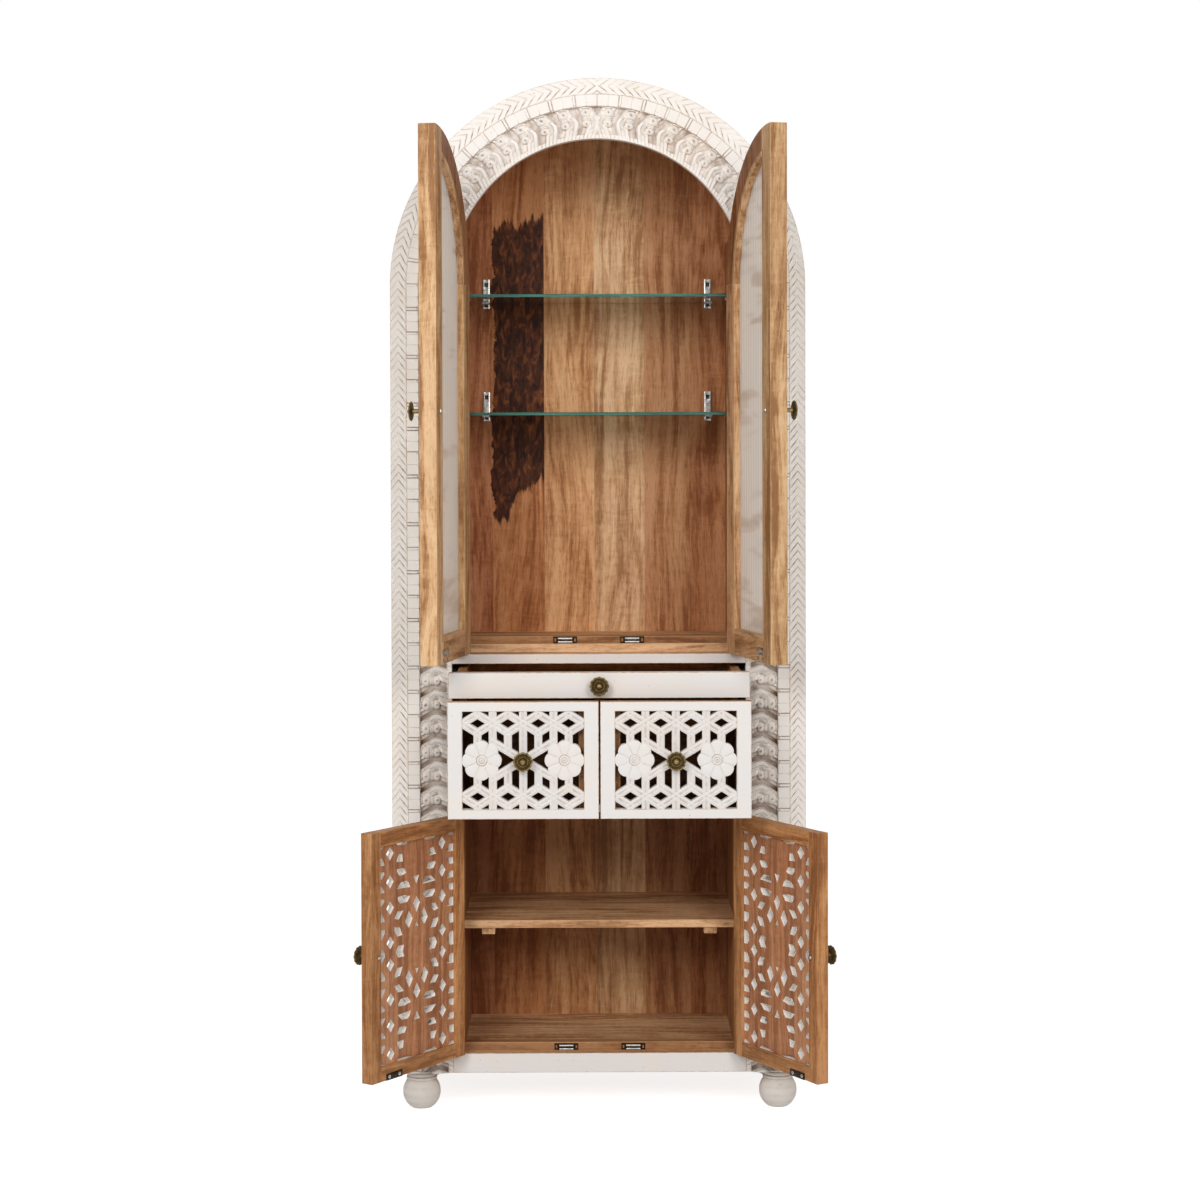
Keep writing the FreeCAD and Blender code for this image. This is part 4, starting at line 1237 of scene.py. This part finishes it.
boards("slim_drawer_front", "slim_drawer", [dimmed_wash], drawer_draw)
for drawer, tones in (("slim_drawer", None), ("left_drawer", box_tones), ("right_drawer", box_tones)):
    boards(drawer + "_box", drawer, [drawer_wood], drawer_draw, tones=tones)
fret_bar = bar_mesh()
fret_flower = rosette(rosette_ratio * min(cell_width, row_height))
fret_hub = kept_mesh(turned(hub_profile, hub_steps), "hub")
front_finishes = [drawer_wood, dimmed_wash]
for drawer, mirror in (("left_drawer", 1), ("right_drawer", -1)):
    front_node = drawer + "_fret_front"
    place = Matrix.Translation((0, -fret_pull, 0)) @ Matrix.Scale(mirror, 4, (1, 0, 0))
    plate = fret_plate(front_node)
    finish_piece(plate, drawer + "_plate", front_finishes, drawer, [front_node])
    finish_piece(fret_border(), drawer + "_border", front_finishes, drawer, [], place=place)
    carvings = [("_bars", fret_bars(fret_bar), board_smooth)]
    carvings.append(("_rosettes", fret_flowers(fret_flower, fret_hub), rosette_smooth))
    for ending, carving, smooth in carvings:
        finish_piece(carving, drawer + ending, [dimmed_wash], drawer, [], smooth, place)

# Knobs
# Cast brass knobs with twelve petals round the rim, two rings of beads and a domed boss, darkened in
# the recesses. Each stands on a shank and is bolted through the wood to a hexagon nut behind.
knob_steps = 72
knob_petals = 12
knob_rim_start = 0.0105
knob_rim = 0.0160
knob_scallop = 0.0014
knob_scallop_power = 0.7
knob_profile = [
    (0.0000, 0.0000, 0.5), (0.0069, 0.0000, 0.5), (0.0070, 0.0010, 0.1), (0.0062, 0.0022, 0.0),
    (0.0050, 0.0029, 0.6), (0.0043, 0.0040, 0.3), (0.0040, 0.0080, 0.0), (0.0040, 0.0130, 0.0),
    (0.0044, 0.0165, 0.3), (0.0060, 0.0177, 0.5), (0.0105, 0.0181, 0.3), (0.0150, 0.0184, 0.1),
    (0.0160, 0.0193, 0.0), (0.0158, 0.0204, 0.0), (0.0144, 0.0215, 0.1), (0.0132, 0.0213, 0.9),
    (0.0106, 0.0206, 1.0), (0.0096, 0.0213, 0.4), (0.0088, 0.0220, 0.0), (0.0078, 0.0214, 0.9),
    (0.0062, 0.0212, 1.0), (0.0054, 0.0226, 0.2), (0.0046, 0.0243, 0.0), (0.0030, 0.0257, 0.0),
    (0.0014, 0.0263, 0.0), (0.0000, 0.0264, 0.0),
]
knob_beads = [(0.0114, 24, 0.0211, 0.0009), (0.0070, 12, 0.0214, 0.0008)]
nut_radius = 0.0045
nut_length = 0.0035
nut_ease = 0.0003
bolt_radius = 0.00195
bolt_taper = 0.8
bolt_steps = 16
bolt_past_nut = 0.0010
metal_smooth = 35
tarnish_noise = ((160.0, 160.0, 160.0), 4.0)
tarnish_limits = (0.35, 0.68)
scratch_noise = ((900.0, 900.0, 120.0), 2.0)
scratch_change = 0.25
scratch_drop = 0.1
recess_soil_and_shade = 0.9
recess_rough = 0.3


def metal_finish(name, bright, dull, recess, roughness, metallic=1.0):
    """Metal with uneven polish, and a recess colour in its sunk places: patina on the brass, painted shade
    in the holes of the plated clips.
    """
    material, tree, shader = new_finish(name)
    soil_and_shade = attribute(tree, "soil_and_shade", "Fac")
    place = object_place(tree)
    tarnish = between(tree, mottle(tree, place, *tarnish_noise), *tarnish_limits)
    worn = mixed(tree, tarnish, tint(*bright), tint(*dull))
    scratch = mottle(tree, place, *scratch_noise)
    gloss = times(tree, scratch, scratch_change, roughness - scratch_drop)
    inputs = {
        "Base Color": mixed(tree, times(tree, soil_and_shade, recess_soil_and_shade), worn, tint(*recess)),
        "Roughness": times(tree, soil_and_shade, recess_rough, gloss),
        "Metallic": metallic,
    }
    feed(tree, shader, inputs)
    return material


def peg(shape, sides, low_radius, high_radius, top, length):
    """Adds an upright peg under a height, and gives its corners."""
    made = bmesh.ops.create_cone(
        shape,
        cap_ends=True,
        segments=sides,
        radius1=low_radius,
        radius2=high_radius,
        depth=length,
        matrix=Matrix.Translation((0, 0, top - length / 2)),
    )
    return made["verts"]


def knob_shape(wood):
    """Knob with its axis upright: height counts outward from the face of the wood."""
    shape = turned(knob_profile, knob_steps)
    for vert in shape.verts:
        radius = math.hypot(vert.co.x, vert.co.y)
        if radius > knob_rim_start:
            turn = math.atan2(vert.co.y, vert.co.x)
            swell = abs(math.cos(turn * knob_petals / 2)) ** knob_scallop_power
            share = knob_scallop * swell * (radius - knob_rim_start) / (knob_rim - knob_rim_start)
            widen(vert, radius, radius + share)
    for ring, count, height, reach in knob_beads:
        for bead in range(count):
            turn = 2 * math.pi * bead / count
            place = Matrix.Translation((ring * math.cos(turn), ring * math.sin(turn), height))
            bmesh.ops.create_icosphere(shape, subdivisions=1, radius=reach, matrix=place)
    brass_faces = len(shape.faces)
    nut = peg(shape, 6, nut_radius, nut_radius, -wood, nut_length)
    rounded(shape, list({edge for vert in nut for edge in vert.link_edges}), nut_ease, steps=1)
    bolt_length = wood + nut_length + bolt_past_nut
    peg(shape, bolt_steps, bolt_radius * bolt_taper, bolt_radius, 0, bolt_length)
    shape.faces.ensure_lookup_table()
    for face in shape.faces[brass_faces:]:
        face.material_index = 1
    return shape


knob_brass = metal_finish("antique brass", (142, 120, 78), (94, 78, 48), (30, 22, 12), 0.4)
bolt_steel = metal_finish("bolt steel", (214, 214, 212), (170, 170, 168), (80, 78, 74), 0.3)
fret_move = Matrix.Translation((0, -fret_pull, 0))
knobs = [
    ("upper_left", "upper_left_door", door_swing("upper_left"), (-0.0255, 1.290), 0.031),
    ("upper_right", "upper_right_door", door_swing("upper_right"), (0.0255, 1.290), 0.031),
    ("lower_left", "lower_left_door", door_swing("lower_left"), (-0.021, 0.332), 0.023),
    ("lower_right", "lower_right_door", door_swing("lower_right"), (0.021, 0.332), 0.023),
    ("slim_drawer", "slim_drawer", Matrix.Translation((0, -slim_pull, 0)), (0.0, 0.803), 0.020),
    ("left_drawer", "left_drawer", fret_move, fret_middle, 0.020),
    ("right_drawer", "right_drawer", fret_move, (-fret_middle[0], fret_middle[1]), 0.020),
]
for knob, body, move, (knob_x, knob_z), wood in knobs:
    place = move @ Matrix.Translation((knob_x, front_plane, knob_z)) @ lie_on_front
    finishes = [knob_brass, bolt_steel]
    name = knob + "_petal_knob"
    finish_piece(knob_shape(wood), name, finishes, body, [knob + "_knob"], metal_smooth, place)

# Glass shelves
# Two sheets of float glass with ground edges, which look deep green; they lie on the clips and pins.
sheet_ease = 0.0005
edge_noise = ((14.0, 14.0, 300.0), 3.0)
edge_limits = (0.3, 0.7)
shelf_glass = glass_finish("float glass", (240, 250, 246), 0.0, 1.0, 1.48)
edge_glass, edge_tree, edge_shader = new_finish("glass edge")
edge_cloud = between(edge_tree, mottle(edge_tree, object_place(edge_tree), *edge_noise), *edge_limits)
edge_colour = mixed(edge_tree, edge_cloud, tint(24, 84, 70), tint(58, 124, 108))
feed(edge_tree, edge_shader, {"Base Color": edge_colour, "Roughness": 0.18})
sheets = copy_boards("glass_shelves")
for face in sheets.faces:
    face.material_index = 0 if abs(face.normal.z) > 0.5 else 1
ease_edges(sheets, sheet_ease)
finish_piece(sheets, "glass_sheets", [shelf_glass, edge_glass], "cabinet", ["glass_shelves"])

# Shelf clips and catches
# Plated strips on the back wall with two square holes and a tab under each sheet of glass, and catches
# behind the doors: two steel rollers in a bronze plate, let into a strip along the edge of the floor.
metal_ease = 0.0003
clip_x = 0.217
clip_face = front_plane + 0.331
clip_back = front_plane + 0.3328
clip_columns = [-0.0068, -0.0036, 0.0036, 0.0068]
clip_rows = [-0.0095, -0.0060, 0.0010, 0.0050, 0.0260, 0.0330, 0.0410, 0.0475]
clip_pockets = [(1, 1), (1, 5)]
clip_sunk = 0.0014
tab_reach = 0.038
tab_lap = 0.0004
tab_thickness = 0.0018
glass_under = (1.2845, 1.5045)
pin_height = 0.02
catch_x = 0.062
catch_columns = [-0.0220, -0.0198, -0.0168, -0.0138, 0.0138, 0.0168, 0.0198, 0.0220]
catch_rows = [0.0002, 0.0034, 0.0094, 0.0128]
catch_pockets = [(1, 1), (5, 1), (3, 1)]
catch_window_half = catch_columns[4]
catch_plate = 0.0014
catch_sunk = 0.0011
roller_height = 0.006
roller_space = 0.0049
stop_strips = [(0.0332, 0.8623, 0.0132), (0.0252, 0.1083, 0.0150)]
stop_half = 0.2506
stop_depth = 0.022


def low_solids(node, tallest):
    """Copy of a CAD piece without its solids that are taller than a limit."""
    shape = copy_boards(node)
    tall = []
    for group in islands(shape):
        heights = [vert.co.z for vert in group]
        if max(heights) - min(heights) > tallest:
            tall += group
    bmesh.ops.delete(shape, geom=tall, context="VERTS")
    return shape


def pressed_plate(name, columns, rows, thickness, pockets, sunk):
    """Upright plate facing front with sunk pockets, at the columns and rows of a grid."""
    shape = bmesh.new()
    soil_and_shade = shape.verts.layers.float.new("soil_and_shade")
    for vert, column, row in grid(shape, len(columns) - 1, len(rows) - 1):
        vert.co = Vector((columns[column], 0, rows[row]))
    sunk_faces = []
    for column, row in pockets:
        middle = Vector(((columns[column] + columns[column + 1]) / 2, 0, (rows[row] + rows[row + 1]) / 2))
        sunk_faces.append(min(shape.faces, key=lambda face: (face.calc_center_median() - middle).length))
    close_back(shape, thickness)
    for face in bmesh.ops.extrude_discrete_faces(shape, faces=sunk_faces)["faces"]:
        bmesh.ops.translate(shape, vec=(0, sunk, 0), verts=face.verts)
        for vert in face.verts:
            vert[soil_and_shade] = 1.0
    return kept_mesh(shape, name)


# Painted shade: the clip pockets stand for square holes and take the near-black recess colour.
clip_chrome = metal_finish("bright plating", (196, 194, 190), (146, 143, 138), (26, 23, 20), 0.26)
catch_bronze = metal_finish("pressed bronze", (58, 44, 32), (40, 30, 22), (190, 130, 78), 0.45)
roller_steel = metal_finish("roller steel", (196, 196, 194), (160, 160, 158), (60, 58, 56), 0.3)
clips = bmesh.new()
clips.from_mesh(kept_mesh(low_solids("shelf_clips", pin_height), "pins"))
strip_mesh = pressed_plate("clip", clip_columns, clip_rows, clip_back - clip_face, clip_pockets, clip_sunk)
tab_lows = (clip_columns[0], -tab_reach, -tab_thickness)
tab_mesh = kept_mesh(block(tab_lows, (clip_columns[-1], tab_lap, 0)), "tab")
for side in (-1, 1):
    for under in glass_under:
        for mesh in (strip_mesh, tab_mesh):
            stamp(clips, mesh, Matrix.Translation((side * clip_x, clip_face, under)))
ease_edges(clips, metal_ease)
finish_piece(clips, "plated_clips", [clip_chrome], "cabinet", ["shelf_clips"], metal_smooth)

rollers = low_solids("door_catches", roller_height)
roller_nodes = ["door_catches"]
finish_piece(rollers, "catch_rollers", [roller_steel], "cabinet", roller_nodes, metal_smooth)
plates = bmesh.new()
plate_soil = plates.verts.layers.float.new("soil_and_shade")
plate_mesh = pressed_plate("catch", catch_columns, catch_rows, catch_plate, catch_pockets, catch_sunk)
for number, (stop_front, stop_low, stop_rise) in enumerate(stop_strips):
    strip_front = front_plane + stop_front + roller_space
    strip_highs = (stop_half, strip_front + stop_depth, stop_low + stop_rise)
    stop_strip = block((-stop_half, strip_front, stop_low), strip_highs)
    ease_edges(stop_strip, board_ease)
    lay_grain(stop_strip, 0.0, board_draw, wall_tones)
    finish_piece(stop_strip, f"stop_strip_{number}", [inside_wood], "cabinet", [])
    for side in (-1, 1):
        stamp(plates, plate_mesh, Matrix.Translation((side * catch_x, strip_front - catch_plate, stop_low)))
for vert in plates.verts:
    if abs(abs(vert.co.x) - catch_x) < catch_window_half + merge_distance:
        vert[plate_soil] = 0.0
finish_piece(plates, "catch_plates", [catch_bronze], "cabinet", [], metal_smooth)

# Hinges and strikes
# Steel butt hinges let into the frame and the doors, with a pin through their knuckles, and a strike
# plate held by two bright screws on the back of each door: bright above, brown below.
screw_profile = [
    (0.0, 0.0, 1.0), (0.0034, 0.0, 1.0), (0.0034, 0.0006, 0.1), (0.0030, 0.00085, 0.0),
    (0.0014, 0.00095, 0.0), (0.0012, 0.0005, 1.0), (0.0, 0.0005, 1.0),
]
screw_steps = 18
strike_centre = 0.062
strike_plate = 0.0015
screw_sunk = 0.0007
strike_screws = (-0.014, 0.014)
screw_mesh = kept_mesh(turned(screw_profile, screw_steps), "screw")
hinge_steel = metal_finish("hinge steel", (196, 196, 194), (150, 148, 146), (70, 66, 60), 0.34)
strikes = {"upper": (clip_chrome, 0.031, 0.854), "lower": (catch_bronze, 0.023, 0.118)}


def metal_piece(node, name, body, finishes):
    """Eased copy of a metal CAD piece; its last solid takes the second finish if there is one."""
    shape = copy_boards(node)
    for vert in islands(shape)[-1]:
        for face in vert.link_faces:
            face.material_index = len(finishes) - 1
    ease_edges(shape, metal_ease)
    finish_piece(shape, name, finishes, body, [node], metal_smooth)


metal_piece("frame_hinge_leaves", "hinge_leaves", "cabinet", [hinge_steel])
for door in door_turns:
    strike_finish, door_thickness, strike_height = strikes[door.split("_")[0]]
    body = door + "_door"
    finishes = [hinge_steel, strike_finish]
    metal_piece(door + "_fittings", door + "_hinges_and_strike", body, finishes)
    head_depth = front_plane + door_thickness + strike_plate - screw_sunk
    heads = bmesh.new()
    for shift in strike_screws:
        head_place = Matrix.Translation((-strike_centre + shift, head_depth, strike_height))
        stamp(heads, screw_mesh, head_place @ Matrix.Rotation(-math.pi / 2, 4, "X"))
    name = door + "_strike_screws"
    finish_piece(heads, name, [roller_steel], body, [], metal_smooth, door_place(door))

# Drawer slides
# Ball slides of black sheet steel: a channel on the case and a runner on each side of a drawer box.
slide_black = metal_finish("black slide steel", (44, 44, 46), (28, 28, 30), (16, 16, 16), 0.4, 0.7)
metal_piece("slide_rails", "slide_channels", "cabinet", [slide_black])
for drawer in ("slim_drawer", "left_drawer", "right_drawer"):
    metal_piece(drawer + "_runners", drawer + "_slide_runners", drawer, [slide_black])

# Floor and backdrop
# A pale studio floor that takes the soft shadow of the cabinet; the world behind it is plain white.
floor_half = 30.0
floor_glow = 0.8
floor_grey = (0.8, 0.8, 0.8, 1)
plain_white = (1, 1, 1, 1)
sky_strength = 0.28


def seen_directly(tree):
    """1 for what the camera sees itself, in a mirror or through glass."""
    path = shade(tree, "ShaderNodeLightPath", {})
    seen = worked(tree, "ADD", path["Is Camera Ray"], path["Is Glossy Ray"])
    return worked(tree, "ADD", seen, path["Is Transmission Ray"])


floor_shape = bmesh.new()
bmesh.ops.create_grid(floor_shape, x_segments=1, y_segments=1, size=floor_half)
floor = add_object("floor", kept_mesh(floor_shape, "floor"))
floor_finish, floor_tree, floor_shader = new_finish("studio floor")
floor_inputs = {
    "Base Color": floor_grey,
    "Roughness": 0.9,
    "Specular IOR Level": 0.0,
    "Emission Color": plain_white,
    "Emission Strength": times(floor_tree, seen_directly(floor_tree), floor_glow),
}
feed(floor_tree, floor_shader, floor_inputs)
floor.data.materials.append(floor_finish)

world = bpy.data.worlds.new("studio")
bpy.context.scene.world = world
world.use_nodes = True
sky_tree = world.node_tree
sky_inputs = {"Value": seen_directly(sky_tree), "To Min": sky_strength, "To Max": 1.0}
sky = shade(sky_tree, "ShaderNodeMapRange", sky_inputs)["Result"]
feed(sky_tree, sky_tree.nodes["Background"], {"Color": plain_white, "Strength": sky})

# Lamps
# Two broad soft lamps high in front, the left one a little stronger than the right one, as in a studio.
lamp_target = Vector((0, 0, 1.0))
lamps = [("key_lamp", (-1.7, -4.4, 2.7), 1.8, 94.0), ("fill_lamp", (1.6, -4.5, 2.5), 1.8, 80.0)]
for lamp_name, lamp_place, lamp_size, lamp_power in lamps:
    lamp_data = bpy.data.lights.new(lamp_name, "AREA")
    lamp_data.size = lamp_size
    lamp_data.energy = lamp_power
    lamp = add_object(lamp_name, lamp_data)
    lamp.location = lamp_place
    lamp.rotation_euler = (lamp_target - Vector(lamp_place)).to_track_quat("-Z", "Y").to_euler()

# Camera
# A long lens in front of the cabinet, about level with the first glass shelf, looking slightly down.
picture_side = 1200
focal_pixels = 2585.87
sensor_width = 36.0
axis_row = 480
camera_tilt = -0.0184
camera_roll = 0.0030
camera_turn = -0.0053
lens = bpy.data.cameras.new("camera")
lens.sensor_width = sensor_width
lens.lens = focal_pixels / picture_side * sensor_width
lens.shift_y = -(picture_side / 2 - axis_row) / picture_side
camera = add_object("camera", lens)
camera.location = (-0.0216, front_plane - 4.7416, 1.2523)
camera.rotation_euler = (math.pi / 2 + camera_tilt, camera_roll, camera_turn)
bpy.context.scene.camera = camera
bpy.context.scene.view_settings.view_transform = "Standard"
